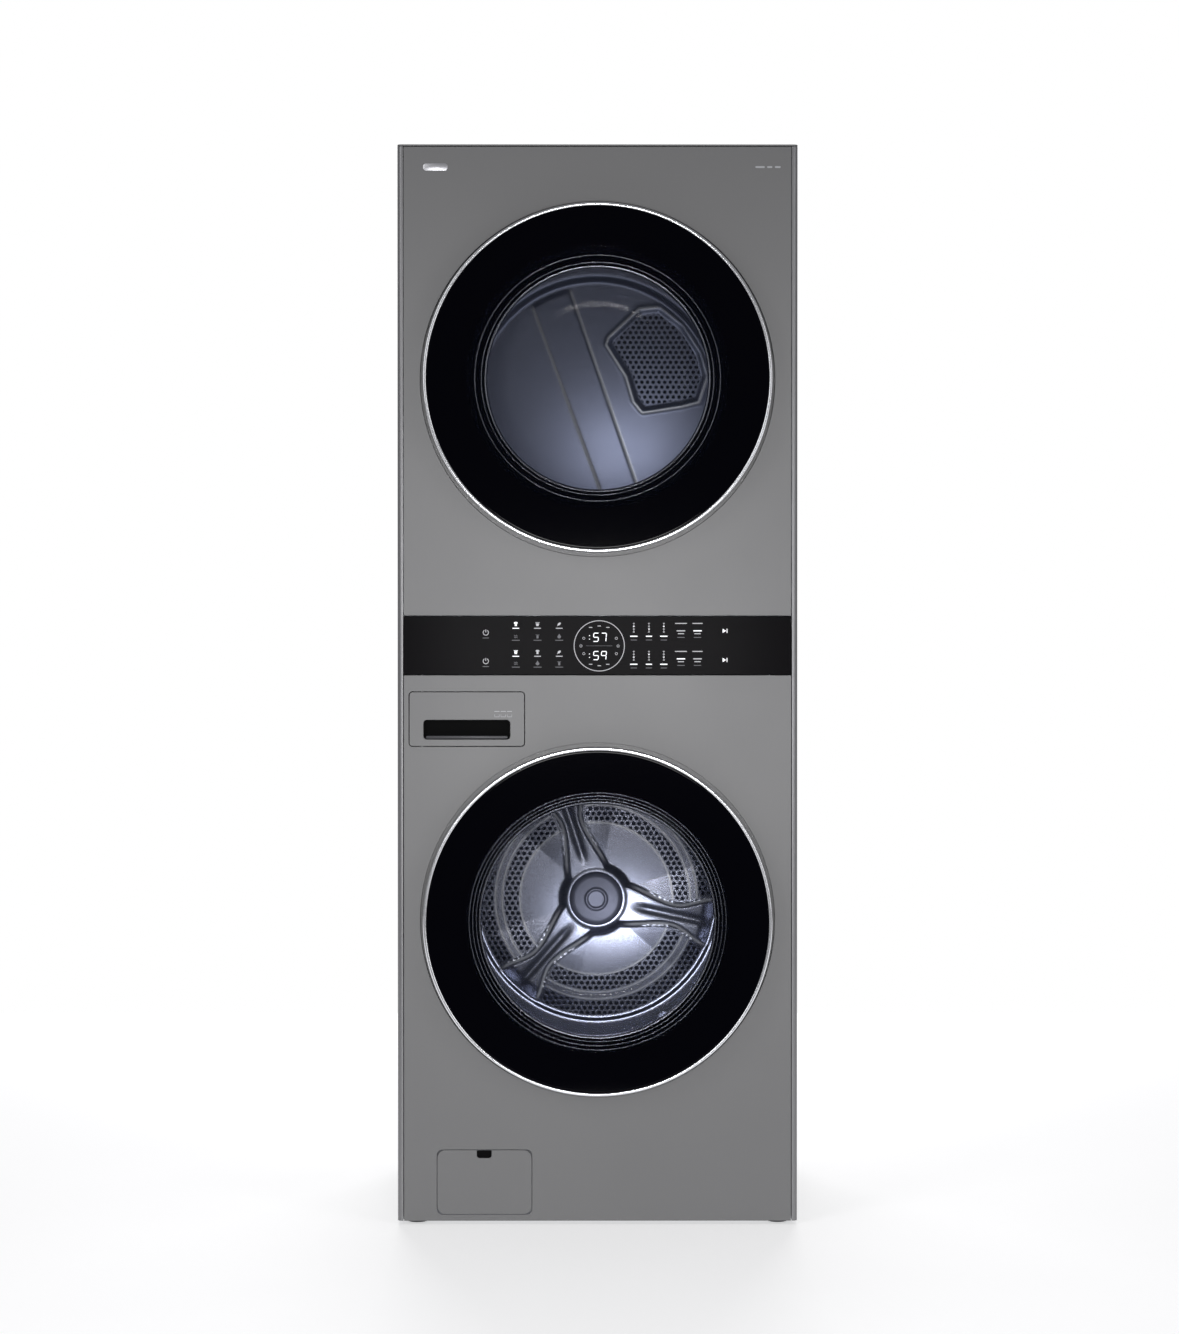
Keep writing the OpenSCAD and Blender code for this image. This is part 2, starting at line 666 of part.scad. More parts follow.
module door_trim(z) {
    color("silver") lathe_y(0, z) polygon([[door_r - trim_w, door_y + 1], [door_r - trim_w + 1, door_y],
        [door_r - 1.5, door_y], [door_r, door_y + 2], [door_r, door_y + trim_d],
        [door_r - 2, door_y + trim_d], [door_r - 2, door_y + 5], [door_r - trim_w, door_y + 5]]);
}
module door_glass(z) {
    color([0.1, 0.1, 0.12, 0.5]) rod_y(0, z, glass_y, glass_y + glass_t, glass_r);
}
module door_frame(z, window_r) {
    seat_r = window_r + 8;
    wall = 3;
    step_y = door_y + trim_d + 0.3;
    cut_x = hinge_x + 36;
    grip_x = door_r - 34;
    difference() {
        lathe_y(0, z) difference() {
            polygon([[rim_r, flange_y], [door_r - 6.5, flange_y], [door_r - 6.5, step_y], [frame_r, step_y],
                [frame_r, door_back - 2], [frame_r - 2, door_back], [seat_r - 6, door_back],
                [window_r, door_back - 8]]);
            polygon([[rim_r + wall, flange_y + wall], [door_r - 6.5 - wall, flange_y + wall],
                [door_r - 6.5 - wall, step_y + wall], [frame_r - wall, step_y + wall],
                [frame_r - wall, door_back - wall - 1], [seat_r - 2, door_back - wall - 1],
                [window_r + 5, door_back - 9]]);
        }
        block(-door_r - e, cut_x, hinge_y - 12, door_back + e, z - notch_h, z + notch_h);
        block(grip_x, door_r + e, step_y + 5, door_back + e, z - grip_h, z + grip_h);
    }
    // Liner of the grip pocket
    difference() {
        intersection() {
            block(grip_x - 3, door_r, step_y + 2, door_back, z - grip_h - 3, z + grip_h + 3);
            rod_y(0, z, step_y, door_back, frame_r - 0.5);
        }
        block(grip_x, door_r + e, step_y + 5, door_back + e, z - grip_h, z + grip_h);
    }
    // Hinge knuckle and the block that holds it
    difference() {
        union() {
            translate([hinge_x, hinge_y, z - knuckle_h]) cylinder(h = 2 * knuckle_h, r = knuckle_r);
            block(hinge_x, cut_x + 1, hinge_y - 6, hinge_y + 6, z - knuckle_h, z + knuckle_h);
            block(cut_x, cut_x + 12, flange_y + 1, door_back - 1, z - notch_h - 2, z + notch_h + 2);
        }
        translate([hinge_x, hinge_y, z - knuckle_h - e]) cylinder(h = 2 * knuckle_h + 2 * e, r = pin_r + run);
    }
}
module door_bowl(z, window_r, depth) {
    t = 4;
    y0 = door_back + 0.2;
    color([0.8, 0.85, 0.88, 0.4]) lathe_y(0, z) polygon([[window_r + 8, y0], [window_r + 8, y0 + t],
        [window_r - 4, y0 + t], [window_r - 20, y0 + depth * 0.72], [window_r - 34, y0 + depth * 0.93],
        [window_r - 56, y0 + depth], [0, y0 + depth + 3], [0, y0 + depth - 1], [window_r - 58, y0 + depth - t],
        [window_r - 38, y0 + depth * 0.93 - t], [window_r - 25, y0 + depth * 0.72 - 2], [window_r - 10, y0]]);
}
module dryer_door_trim() { door_trim(dryer_z); }
module washer_door_trim() { door_trim(washer_z); }
module dryer_door_glass() { door_glass(dryer_z); }
module washer_door_glass() { door_glass(washer_z); }
module dryer_door_frame() { color(black) door_frame(dryer_z, dryer_window_r); }
hook_t = 4;
hook_h = 16;
hook_pin_r = 1.6;
hook_pin_x = hook_x - hook_t / 2;
hook_pin_y = front_y - 2;
hook_ear_t = 5;
hook_ear_z = hook_h / 2 + 0.4;
module washer_door_frame() {
    slot_h = hook_h + 6;
    color(black) difference() {
        union() {
            difference() {
                door_frame(washer_z, washer_window_r);
                block(hook_x - 9, hook_x + 5, door_back - 6, door_back + e,
                    washer_z - slot_h / 2, washer_z + slot_h / 2);
            }
            // Ears that hold the hook's pin
            for (z = [washer_z - hook_ear_z - hook_ear_t, washer_z + hook_ear_z])
                block(hook_pin_x - 3, hook_pin_x + 3, hook_pin_y - 3, door_back, z, z + hook_ear_t);
        }
        translate([hook_pin_x, hook_pin_y, washer_z - hook_h]) cylinder(h = 2 * hook_h, r = hook_pin_r + run);
    }
}
module dryer_door_bowl() { door_bowl(dryer_z, dryer_window_r, dryer_bowl_d); }
module washer_door_bowl() { door_bowl(washer_z, washer_window_r, washer_bowl_d); }
module washer_door_hook() {
    y1 = dish_y + 14;
    z0 = washer_z - hook_h / 2;
    z1 = washer_z + hook_h / 2;
    pin_z = hook_ear_z + hook_ear_t;
    color("silver") {
        block(hook_x - hook_t, hook_x, door_back - 8, y1, z0, z1);
        block(hook_x - hook_t, hook_x + 5, y1 - 6, y1, z0, z1);
        translate([hook_pin_x, hook_pin_y, washer_z - pin_z]) cylinder(h = 2 * pin_z, r = hook_pin_r);
    }
}
module door_hinges() {
    ear_h = 8;
    for (z = [dryer_z, washer_z])
        color(steel) {
            block(hinge_x - 6, hinge_x + 30, dish_y - 3, dish_y, z - 47, z + 47);
            for (s = [-1, 1]) translate([0, 0, z + s * (knuckle_h + 0.5 + ear_h / 2) - ear_h / 2]) {
                block(hinge_x - 6, hinge_x + 6, hinge_y, dish_y, 0, ear_h);
                translate([hinge_x, hinge_y, 0]) cylinder(h = ear_h, r = 6);
            }
            translate([hinge_x, hinge_y, z - knuckle_h - 2]) cylinder(h = 2 * knuckle_h + 4, r = pin_r);
        }
}

// ---- Washer ----
axis_z = washer_z - 4;
tub_y0 = front_y + 73;
tub_neck_r = washer_opening_r - 14;
tub_split_y = tub_y0 + 240;
wdrum_y0 = tub_y0 + 17;
wdrum_y1 = wdrum_y0 + washer_drum_d;
spider_y0 = wdrum_y1 + 1;
spider_t = 24;
tub_y1 = spider_y0 + spider_t + 10;
tub_wall_y = tub_y1 + 7;
flange_r = tub_r + 10;
flange_t = 6;
bearing_r = 30;
bearing_w = 14;
housing_t = 12;
housing_y1 = tub_wall_y + 62;
rotor_y0 = tub_wall_y + 10;
rotor_y1 = rotor_y0 + 46;
stator_r = 120;
spring_x = 230;
spring_y = tub_split_y + 40;
spring_r = 12;
spring_z0 = axis_z + sqrt(tub_r * tub_r - spring_x * spring_x) + 28;
spring_z1 = fascia_z0 - 50;
damper_x = 170;
damper_y = [tub_y0 + 190, tub_y0 + 390];
damper_top = axis_z - sqrt(tub_r * tub_r - damper_x * damper_x);
damper_r = 16;
rod_r = 8;
cyl_z1 = damper_top - 60;
fill_x = drawer_x0 + 95;
fill_y = tub_y0 + 100;
hose_r = 20;
hose_t = 4;
fill_tub_z = axis_z + sqrt(tub_r * tub_r - fill_x * fill_x);
pump_x = filter_x0 + filter_w / 2;
pump_z = filter_z0 + filter_h / 2;
sump_y = tub_y0 + 37;
sump_tub_z = axis_z - sqrt(tub_r * tub_r - pump_x * pump_x);
sump_z0 = pump_z + 76;
sump_z1 = sump_tub_z - 22;
fill_z0 = fill_tub_z + 22;
fill_z1 = drawer_z0 + 4;

module tub_front() {
    sunk = 14;
    color(grey_plastic) {
        lathe_y(0, axis_z) {
            translate([tub_neck_r, tub_y0 - 16]) square([tub_t, 17]);
            translate([tub_neck_r, tub_y0]) square([tub_r - tub_neck_r, tub_t]);
            translate([tub_r - tub_t, tub_y0]) square([tub_t, tub_split_y - tub_y0]);
            translate([tub_r - tub_t, tub_split_y - flange_t]) square([flange_r - tub_r + tub_t, flange_t]);
        }
        // Hose stubs
        difference() {
            union() {
                translate([fill_x, fill_y, fill_tub_z - sunk])
                    cylinder(h = fill_z0 - fill_tub_z + sunk, r = hose_r);
                translate([pump_x, sump_y, sump_z1]) cylinder(h = sump_tub_z - sump_z1 + sunk, r = hose_r);
            }
            translate([fill_x, fill_y, 0]) cylinder(h = total_h, r = hose_r - hose_t);
            translate([pump_x, sump_y, 0]) cylinder(h = axis_z, r = hose_r - hose_t);
            rod_y(0, axis_z, tub_y0, tub_split_y, tub_r - tub_t);
        }
    }
}
module tub_rear() {
    color(grey_plastic) {
        lathe_y(0, axis_z) {
            translate([tub_r - tub_t, tub_split_y]) square([tub_t, tub_wall_y - tub_split_y]);
            translate([tub_r - tub_t, tub_split_y]) square([flange_r - tub_r + tub_t, flange_t]);
            translate([bearing_r + run, tub_y1]) square([tub_r - bearing_r - run, tub_wall_y - tub_y1]);
            translate([bearing_r + run, tub_y1]) square([housing_t, housing_y1 - tub_y1]);
        }
        // Spring lugs
        for (s = [-1, 1]) difference() {
            block(s * spring_x - 10, s * spring_x + 10, spring_y - 8, spring_y + 8,
                spring_z0 - 42, spring_z0);
            rod_y(0, axis_z, spring_y - 9, spring_y + 9, tub_r - 1);
        }
    }
}
module drum_bearings() {
    color("silver")
        for (y = [tub_y1 + 2, housing_y1 - 2 - bearing_w])
            tube_y(0, axis_z, y, y + bearing_w, bearing_r, shaft_r + run);
}
module counterweights() {
    color("darkgray") {
        difference() {
            block(-60, 190, tub_y0 + 20, tub_split_y - 10, axis_z + 200, axis_z + tub_r + 50);
            rod_y(0, axis_z, tub_y0, tub_split_y, tub_r);
        }
        difference() {
            tube_y(0, axis_z, tub_y0 - 30, tub_y0, tub_r - 6, washer_opening_r + 12);
            block(-tub_r, tub_r, tub_y0 - 31, tub_y0 + e, axis_z - 20, axis_z + tub_r);
        }
    }
}
module motor_stator() {
    color("peru") tube_y(0, axis_z, rotor_y0 + 6, rotor_y1 - 10, stator_r, 60);
    color(steel) difference() {
        rod_y(0, axis_z, tub_wall_y, rotor_y0 + 6, 66);
        rod_y(0, axis_z, tub_wall_y - e, rotor_y0 + 7, bearing_r + housing_t + run);
    }
}
module motor_rotor() {
    cup_ro = stator_r + 10;
    cup_ri = stator_r + 4;
    cup_t = 3;
    cup_y1 = rotor_y1 + 20;
    hub_r = 34;
    color(steel) {
        tube_y(0, axis_z, rotor_y0, cup_y1, cup_ro, cup_ri);
        tube_y(0, axis_z, cup_y1 - cup_t, cup_y1, cup_ro, shaft_r);
        tube_y(0, axis_z, cup_y1 - cup_t, cup_y1 + 14, hub_r, shaft_r);
    }
}
module washer_drum() {
    lip_r = tub_neck_r + 8;
    lip_t = 2;
    lip_d = 8;
    color(steel) lathe_y(0, axis_z) {
        translate([washer_drum_r - drum_t, wdrum_y0]) square([drum_t, washer_drum_d]);
        translate([lip_r, wdrum_y0]) square([washer_drum_r - lip_r, drum_t]);
        translate([lip_r, wdrum_y0]) square([lip_t, lip_d]);
        translate([0, wdrum_y1 - drum_t]) square([washer_drum_r, drum_t]);
    }
}
module washer_lifters() {
    rise = 44;
    color(grey_plastic)
        for (i = [0:2]) translate([0, 0, axis_z]) rotate([0, 120 * i + 30, 0]) intersection() {
            lifter_bar(32, 9, rise, washer_drum_r, wdrum_y0 + 60, wdrum_y1 - 60);
            rod_y(0, 0, wdrum_y0, wdrum_y1, washer_drum_r - drum_t);
        }
}
module hub_cap() {
    y = wdrum_y1 - drum_t;
    color("silver") lathe_y(0, axis_z)
        polygon([[0, y - 16], [22, y - 15], [40, y - 9], [50, y], [0, y]]);
}
module drum_spider() {
    hub_r = 46;
    arm_w = 44;
    arm_t = spider_t - 6;
    color("silver") {
        rod_y(0, axis_z, wdrum_y1, spider_y0 + spider_t, hub_r);
        for (i = [0:2]) translate([0, 0, axis_z]) rotate([0, 120 * i - 30, 0])
            block(0, washer_drum_r - 6, wdrum_y1, spider_y0 + arm_t, -arm_w / 2, arm_w / 2);
        rod_y(0, axis_z, spider_y0, rotor_y1 + 38, shaft_r);
    }
}
module door_gasket() {
    y0 = dish_y + 1;
    y1 = tub_y0 - 5;
    r0 = washer_opening_r - 3;
    n = tub_neck_r + tub_t + 0.3;
    color("dimgray") lathe_y(0, washer_z - 2) polygon([[r0 - 18, y0 + 4], [r0, y0], [r0, y0 + 13],
        [r0 + 8, y0 + 19], [r0 + 8, y0 + 26], [n + 8, y0 + 31], [n + 8, y1], [n + 3, y1], [n + 3, y0 + 27],
        [r0 + 4, y0 + 22], [r0 - 4, y0 + 17], [r0 - 4, y0 + 8], [r0 - 17, y0 + 9]]);
}
module tub_hoses() {
    color("dimgray") {
        for (c = [[fill_x, fill_y, fill_z0, fill_z1], [pump_x, sump_y, sump_z0, sump_z1]])
            translate([c[0], c[1], c[2] + 0.3]) difference() {
                cylinder(h = c[3] - c[2] - 0.6, r = hose_r);
                translate([0, 0, -e]) cylinder(h = c[3] - c[2] + 2, r = hose_r - hose_t);
            }
    }
}
module damper_places() {
    for (x = [-damper_x, damper_x])
        for (y = damper_y)
            translate([x, y, 0]) children();
}
module damper_cylinders() {
    z0 = base_z + 1 + base_t;
    floor_t = 12;
    color(black) difference() {
        damper_places() translate([0, 0, z0]) cylinder(h = cyl_z1 - z0, r = damper_r);
        damper_places() translate([0, 0, z0 + floor_t]) cylinder(h = cyl_z1, r = rod_r + 0.3);
    }
}
module damper_rods() {
    sunk = 80;
    eye = 24;
    color("silver") difference() {
        damper_places() {
            translate([0, 0, cyl_z1 - sunk]) cylinder(h = damper_top - cyl_z1 + sunk - 10, r = rod_r);
            translate([-eye / 2, -eye / 2, damper_top - 22]) cube([eye, eye, 50]);
        }
        rod_y(0, axis_z, tub_y0, tub_wall_y, tub_r);
    }
}

// One coil spring as a wire swept along a helix
coil_n = 9;
coil_steps = 12;
wire_r = 2;
wire_sides = 6;
module coil(r, h) {
    n = coil_n * coil_steps;
    pts = [for (i = [0:n]) for (j = [0:wire_sides - 1])
        let (a = 360 * i / coil_steps, b = 360 * j / wire_sides, rr = r + wire_r * cos(b))
        [rr * cos(a), rr * sin(a), h * i / n + wire_r * sin(b)]];
    sides = [for (i = [0:n - 1]) for (j = [0:wire_sides - 1])
        let (k = (j + 1) % wire_sides)
        [i * wire_sides + j, (i + 1) * wire_sides + j, (i + 1) * wire_sides + k, i * wire_sides + k]];
    cap0 = [[for (j = [0:wire_sides - 1]) j]];
    cap1 = [[for (j = [wire_sides - 1:-1:0]) n * wire_sides + j]];
    polyhedron(points = pts, faces = concat(sides, cap0, cap1), convexity = 10);
}
module suspension_springs() {
    color("silver")
        for (s = [-1, 1])
            translate([s * spring_x, spring_y, spring_z0 + wire_r + 0.5])
                coil(spring_r, spring_z1 - spring_z0 - 2 * wire_r - 1);
}

// ---- Drawer, valves, pump, filter door ----
box_gap = 12;
box_x0 = drawer_x0 + box_gap;
box_x1 = drawer_x0 + drawer_w - box_gap;
box_z0 = drawer_z0 + 10;
box_z1 = drawer_z0 + drawer_h - 18;
box_y0 = front_y + 10;
box_y1 = box_y0 + drawer_d;
recess_x0 = drawer_x0 + 25;
recess_x1 = drawer_x0 + drawer_w - 25;
recess_z0 = drawer_z0 + 12;
recess_z1 = recess_z0 + 34;
front_t = 18;
recess_d = 15;
skin = 4;
cup_t = 3;
// The powder cup is on the left, with the softener and liquid cups one behind the other on the right
cup_w = 109.5;
softener_d = 89;
module detergent_drawer() {
    y0 = front_y + front_t;
    cup_x = box_x0 + 2 * cup_t + cup_w;
    cup_y = y0 + cup_t + softener_d;
    color(graphite) difference() {
        plate_y(drawer_x0, drawer_x0 + drawer_w, drawer_z0, drawer_z0 + drawer_h, front_y, y0, drawer_r);
        plate_y(recess_x0, recess_x1, recess_z0, recess_z1, front_y - e, front_y + recess_d, drawer_r);
        block(drawer_x0 + skin, drawer_x0 + drawer_w - skin, front_y + 3, front_y + recess_d,
            recess_z1 + skin, drawer_z0 + drawer_h - skin);
    }
    color("white") difference() {
        block(box_x0, box_x1, y0, box_y1, box_z0, box_z1);
        block(box_x0 + cup_t, box_x0 + cup_t + cup_w, y0 + cup_t, box_y1 - cup_t, box_z0 + cup_t, box_z1 + e);
        block(cup_x, box_x1 - cup_t, y0 + cup_t, cup_y, box_z0 + cup_t, box_z1 + e);
        block(cup_x, box_x1 - cup_t, cup_y + cup_t, box_y1 - cup_t, box_z0 + cup_t, box_z1 + e);
    }
}
module dispenser_housing() {
    t = 3;
    slide_gap = 3;
    x0 = box_x0 - slide_gap;
    x1 = box_x1 + slide_gap;
    y1 = box_y1 + slide_gap;
    z0 = drawer_z0 + 4;
    z1 = drawer_z0 + drawer_h - 4;
    color(grey_plastic) difference() {
        block(x0 - t, x1 + t, front_y + front_t + 2, y1 + t, z0, z1);
        block(x0, x1, front_y + front_t, y1, z0 + t, z1 - t);
        translate([fill_x, fill_y, z0 - e]) cylinder(h = t + 2 * e, r = hose_r - hose_t);
    }
}
module inlet_valves() {
    y0 = back_y - 70;
    y1 = back_y - 24;
    w = 22;
    h = 20;
    coil_h = 30;
    coil_r = 14;
    bore_r = valve_r - 4;
    difference() {
        union() {
            color(black) block(valve_x[0] - w, valve_x[1] + w, y0, y1, valve_z - h, valve_z + h);
            color("steelblue") for (x = valve_x) {
                rod_y(x, valve_z, y1, back_y, valve_r - port_step);
                rod_y(x, valve_z, back_y, back_y + port_proud, valve_r);
                rod_y(x, valve_z, y0 - coil_h, y0, coil_r);
            }
        }
        for (x = valve_x) rod_y(x, valve_z, back_y - 10, back_y + port_proud + e, bore_r);
    }
}
filter_hinge_y = front_y + 4;
filter_hinge_z = filter_z0 + 10;
filter_hinge_x = [filter_x0 + 34, filter_x0 + filter_w - 34];
filter_pin_r = 1.2;
barrel_r = 2.6;
barrel_w = 24;
filter_ear_r = 2.2;
filter_ear_w = 4;
module filter_hinge_sides() {
    for (x = filter_hinge_x)
        for (s = [-1, 1])
            translate([x + s * (barrel_w / 2 + 0.5 + filter_ear_w / 2), 0, 0]) children();
}
module drain_pump() {
    y0 = front_y + 15;
    y1 = y0 + 118;
    bezel_t = 6;
    body_r = 43;
    bore_r = 39;
    cap_r = 38.5;
    pipe_r = 10;
    motor_len = 60;
    color(grey_plastic) {
        difference() {
            plate_y(filter_x0 - 6, filter_x0 + filter_w + 6, filter_z0 - 5, filter_z0 + filter_h + 6,
                y0, y0 + bezel_t, 16);
            rod_y(pump_x, pump_z, y0 - e, y0 + bezel_t + e, bore_r + 1);
        }
        difference() {
            union() {
                rod_y(pump_x, pump_z, y0 + bezel_t, y1, body_r);
                translate([pump_x, sump_y, pump_z]) cylinder(h = sump_z0 - pump_z, r = hose_r);
            }
            rod_y(pump_x, pump_z, y0, y1 - 4, bore_r);
            translate([pump_x, sump_y, pump_z]) cylinder(h = sump_z0 - pump_z + e, r = hose_r - hose_t);
        }
        // Drain cap with its grip bar
        rod_y(pump_x, pump_z, y0 + 12, y0 + 30, cap_r);
        block(pump_x - 32, pump_x + 32, y0 + 2, y0 + 12, pump_z - 5, pump_z + 5);
        rod_x(drain_x, pump_x - bore_r - 2, sump_y, drain_z, pipe_r);
        rod_y(drain_x, drain_z, sump_y - pipe_r, back_y, drain_r - port_step);
        rod_y(drain_x, drain_z, back_y, back_y + port_proud, drain_r);
        // Ears and pins that carry the filter door
        filter_hinge_sides() {
            rod_x(-filter_ear_w / 2, filter_ear_w / 2, filter_hinge_y, filter_hinge_z, filter_ear_r);
            block(-filter_ear_w / 2, filter_ear_w / 2, filter_hinge_y, y0 + 1,
                filter_hinge_z - filter_pin_r, filter_hinge_z + filter_ear_r);
        }
        for (x = filter_hinge_x)
            rod_x(x - barrel_w / 2 - 1, x + barrel_w / 2 + 1, filter_hinge_y, filter_hinge_z, filter_pin_r);
    }
    color(black) rod_y(pump_x, pump_z, y1, y1 + motor_len, 30);
}
module filter_door() {
    door_t = 3;
    pocket_y = front_y + 1.2;
    notch_x = filter_x0 + 82;
    notch_w = 26;
    notch_d = 14;
    color(graphite) difference() {
        union() {
            plate_y(filter_x0, filter_x0 + filter_w, filter_z0, filter_z0 + filter_h,
                front_y, front_y + door_t, filter_r);
            for (x = filter_hinge_x)
                rod_x(x - barrel_w / 2, x + barrel_w / 2, filter_hinge_y, filter_hinge_z, barrel_r);
        }
        plate_y(notch_x - notch_w / 2, notch_x + notch_w / 2,
            filter_z0 + filter_h - notch_d, filter_z0 + filter_h + notch_d,
            front_y - e, front_y + door_t + e, 5);
        for (x = filter_hinge_x)
            rod_x(x - barrel_w, x + barrel_w, filter_hinge_y, filter_hinge_z, filter_pin_r + run);
        // Pockets behind the skin that the ears swing in
        filter_hinge_sides()
            block(-filter_ear_w / 2 - 0.4, filter_ear_w / 2 + 0.4, pocket_y, front_y + door_t + e,
                filter_z0 - e, filter_hinge_z + 4);
    }
}

base_frame();
side_panel_left();
side_panel_right();
top_panel();
rear_panel();
dryer_front_panel();
washer_front_panel();
divider_shelf();
control_fascia();
control_board();
dryer_front_bulkhead();
dryer_rear_bulkhead();
lint_filter();
blower_housing();
exhaust_duct();
heater_box();
dryer_motor();
drive_belt();
terminal_block();
door_hinges();
dispenser_housing();
inlet_valves();
drain_pump();
damper_cylinders();
suspension_springs();
door_gasket();
tub_hoses();
rear_screws();
foot_front_left();
foot_front_right();
foot_rear_left();
foot_rear_right();
dryer_door_glass();
dryer_door_trim();
dryer_door_frame();
dryer_door_bowl();
washer_door_glass();
washer_door_trim();
washer_door_frame();
washer_door_bowl();
washer_door_hook();
dryer_drum();
motor_shaft();
idler_arm();
idler_wheel();
roller_left();
roller_right();
tub_front();
tub_rear();
counterweights();
motor_stator();
drum_bearings();
damper_rods();
washer_drum();
washer_lifters();
drum_spider();
hub_cap();
motor_rotor();
detergent_drawer();
filter_door();
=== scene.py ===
"""A laundry tower: a clothes dryer over a front-loading washer, in graphite steel.

Surfaces are worked out with numpy. Lengths are metres, the front faces -Y, +X is to the viewer's right.
"""
import bmesh
import bpy
import math
import json
import numpy as np
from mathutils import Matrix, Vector

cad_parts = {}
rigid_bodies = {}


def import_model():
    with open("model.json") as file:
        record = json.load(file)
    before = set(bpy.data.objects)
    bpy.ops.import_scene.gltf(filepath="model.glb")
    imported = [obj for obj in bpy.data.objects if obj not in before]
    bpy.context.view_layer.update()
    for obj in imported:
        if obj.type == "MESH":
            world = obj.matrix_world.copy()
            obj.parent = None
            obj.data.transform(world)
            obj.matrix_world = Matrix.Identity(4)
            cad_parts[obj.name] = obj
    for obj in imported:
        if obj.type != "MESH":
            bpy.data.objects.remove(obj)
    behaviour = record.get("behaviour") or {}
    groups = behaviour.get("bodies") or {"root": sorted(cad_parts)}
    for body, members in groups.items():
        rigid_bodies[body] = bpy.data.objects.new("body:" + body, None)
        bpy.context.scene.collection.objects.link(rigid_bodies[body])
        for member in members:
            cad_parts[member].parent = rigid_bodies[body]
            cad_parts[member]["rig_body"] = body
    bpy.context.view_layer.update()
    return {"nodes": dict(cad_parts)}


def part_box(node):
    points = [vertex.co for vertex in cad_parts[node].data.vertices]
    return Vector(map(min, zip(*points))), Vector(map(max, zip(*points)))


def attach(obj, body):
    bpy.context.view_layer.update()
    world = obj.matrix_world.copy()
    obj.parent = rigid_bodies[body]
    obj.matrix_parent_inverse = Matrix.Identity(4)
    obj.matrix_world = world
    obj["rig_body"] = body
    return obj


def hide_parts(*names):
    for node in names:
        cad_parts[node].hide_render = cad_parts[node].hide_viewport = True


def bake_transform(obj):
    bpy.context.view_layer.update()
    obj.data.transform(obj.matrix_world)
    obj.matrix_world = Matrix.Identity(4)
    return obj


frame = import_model()

MM = 0.001
TAU = 2 * math.pi


# ---- The frame's own measures ----

def centre_of(node):
    """Middle of a node's box."""
    lo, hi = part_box(node)
    return (Vector(lo) + Vector(hi)) / 2


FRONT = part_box("dryer_front_panel")[0][1]


class Door:
    """The measures of one door, from its CAD nodes."""

    def __init__(self, name, window_r):
        self.name = name
        self.z = centre_of(name + "_door_trim").z
        lo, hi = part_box(name + "_door_trim")
        self.r = (hi[2] - lo[2]) / 2
        self.front = lo[1]
        self.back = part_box(name + "_door_frame")[1][1]
        self.glass_r = (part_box(name + "_door_glass")[1][2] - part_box(name + "_door_glass")[0][2]) / 2
        self.glass_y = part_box(name + "_door_glass")[0][1]
        self.window_r = window_r
        self.bowl_y0, self.bowl_y1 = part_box(name + "_door_bowl")[0][1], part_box(name + "_door_bowl")[1][1]
        self.body = name + "_door"


def bowl_window(name):
    """A bowl's clear radius: its flange is 8 mm wider than the window."""
    lo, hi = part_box(name + "_door_bowl")
    return (hi[2] - lo[2]) / 2 - 8 * MM


DRYER = Door("dryer", bowl_window("dryer"))
WASHER = Door("washer", bowl_window("washer"))
DRUM_LO, DRUM_HI = (Vector(c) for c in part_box("dryer_drum"))
DRUM_R = (DRUM_HI.z - DRUM_LO.z) / 2
WDRUM_LO, WDRUM_HI = (Vector(c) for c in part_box("washer_drum"))
WDRUM_R = (WDRUM_HI.z - WDRUM_LO.z) / 2
WASH_Z = (WDRUM_HI.z + WDRUM_LO.z) / 2


# ---- Meshes ----

def finish_mesh(name, verts, faces, body, slot=None, replaces=(), sharp=35, merge=1e-6, smooth=True):
    """A piece from vertices and faces: doubles merged, faces pointed outwards, riding on a body."""
    mesh = bpy.data.meshes.new(name)
    faces = faces if isinstance(faces, list) else faces.tolist()
    mesh.from_pydata(np.asarray(verts, float).tolist(), [], faces)
    bm = bmesh.new()
    bm.from_mesh(mesh)
    bmesh.ops.remove_doubles(bm, verts=bm.verts, dist=merge)
    bmesh.ops.dissolve_degenerate(bm, dist=merge, edges=bm.edges)
    bmesh.ops.recalc_face_normals(bm, faces=bm.faces)
    bm.to_mesh(mesh)
    bm.free()
    if smooth:
        mesh.polygons.foreach_set("use_smooth", [True] * len(mesh.polygons))
        mesh.set_sharp_from_angle(angle=math.radians(sharp))
    piece = bpy.data.objects.new(name, mesh)
    bpy.context.scene.collection.objects.link(piece)
    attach(piece, body)
    if replaces:
        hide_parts(*replaces)
    return piece


def grid_faces(rows, cols, wrap_rows, wrap_cols):
    """Quads of a rows x cols grid of vertices, joined end to end where a direction wraps."""
    i = np.arange(rows if wrap_rows else rows - 1)
    j = np.arange(cols if wrap_cols else cols - 1)
    i, j = np.meshgrid(i, j, indexing="ij")
    i2, j2 = (i + 1) % rows, (j + 1) % cols
    return np.stack([i * cols + j, i * cols + j2, i2 * cols + j2, i2 * cols + j], -1).reshape(-1, 4)


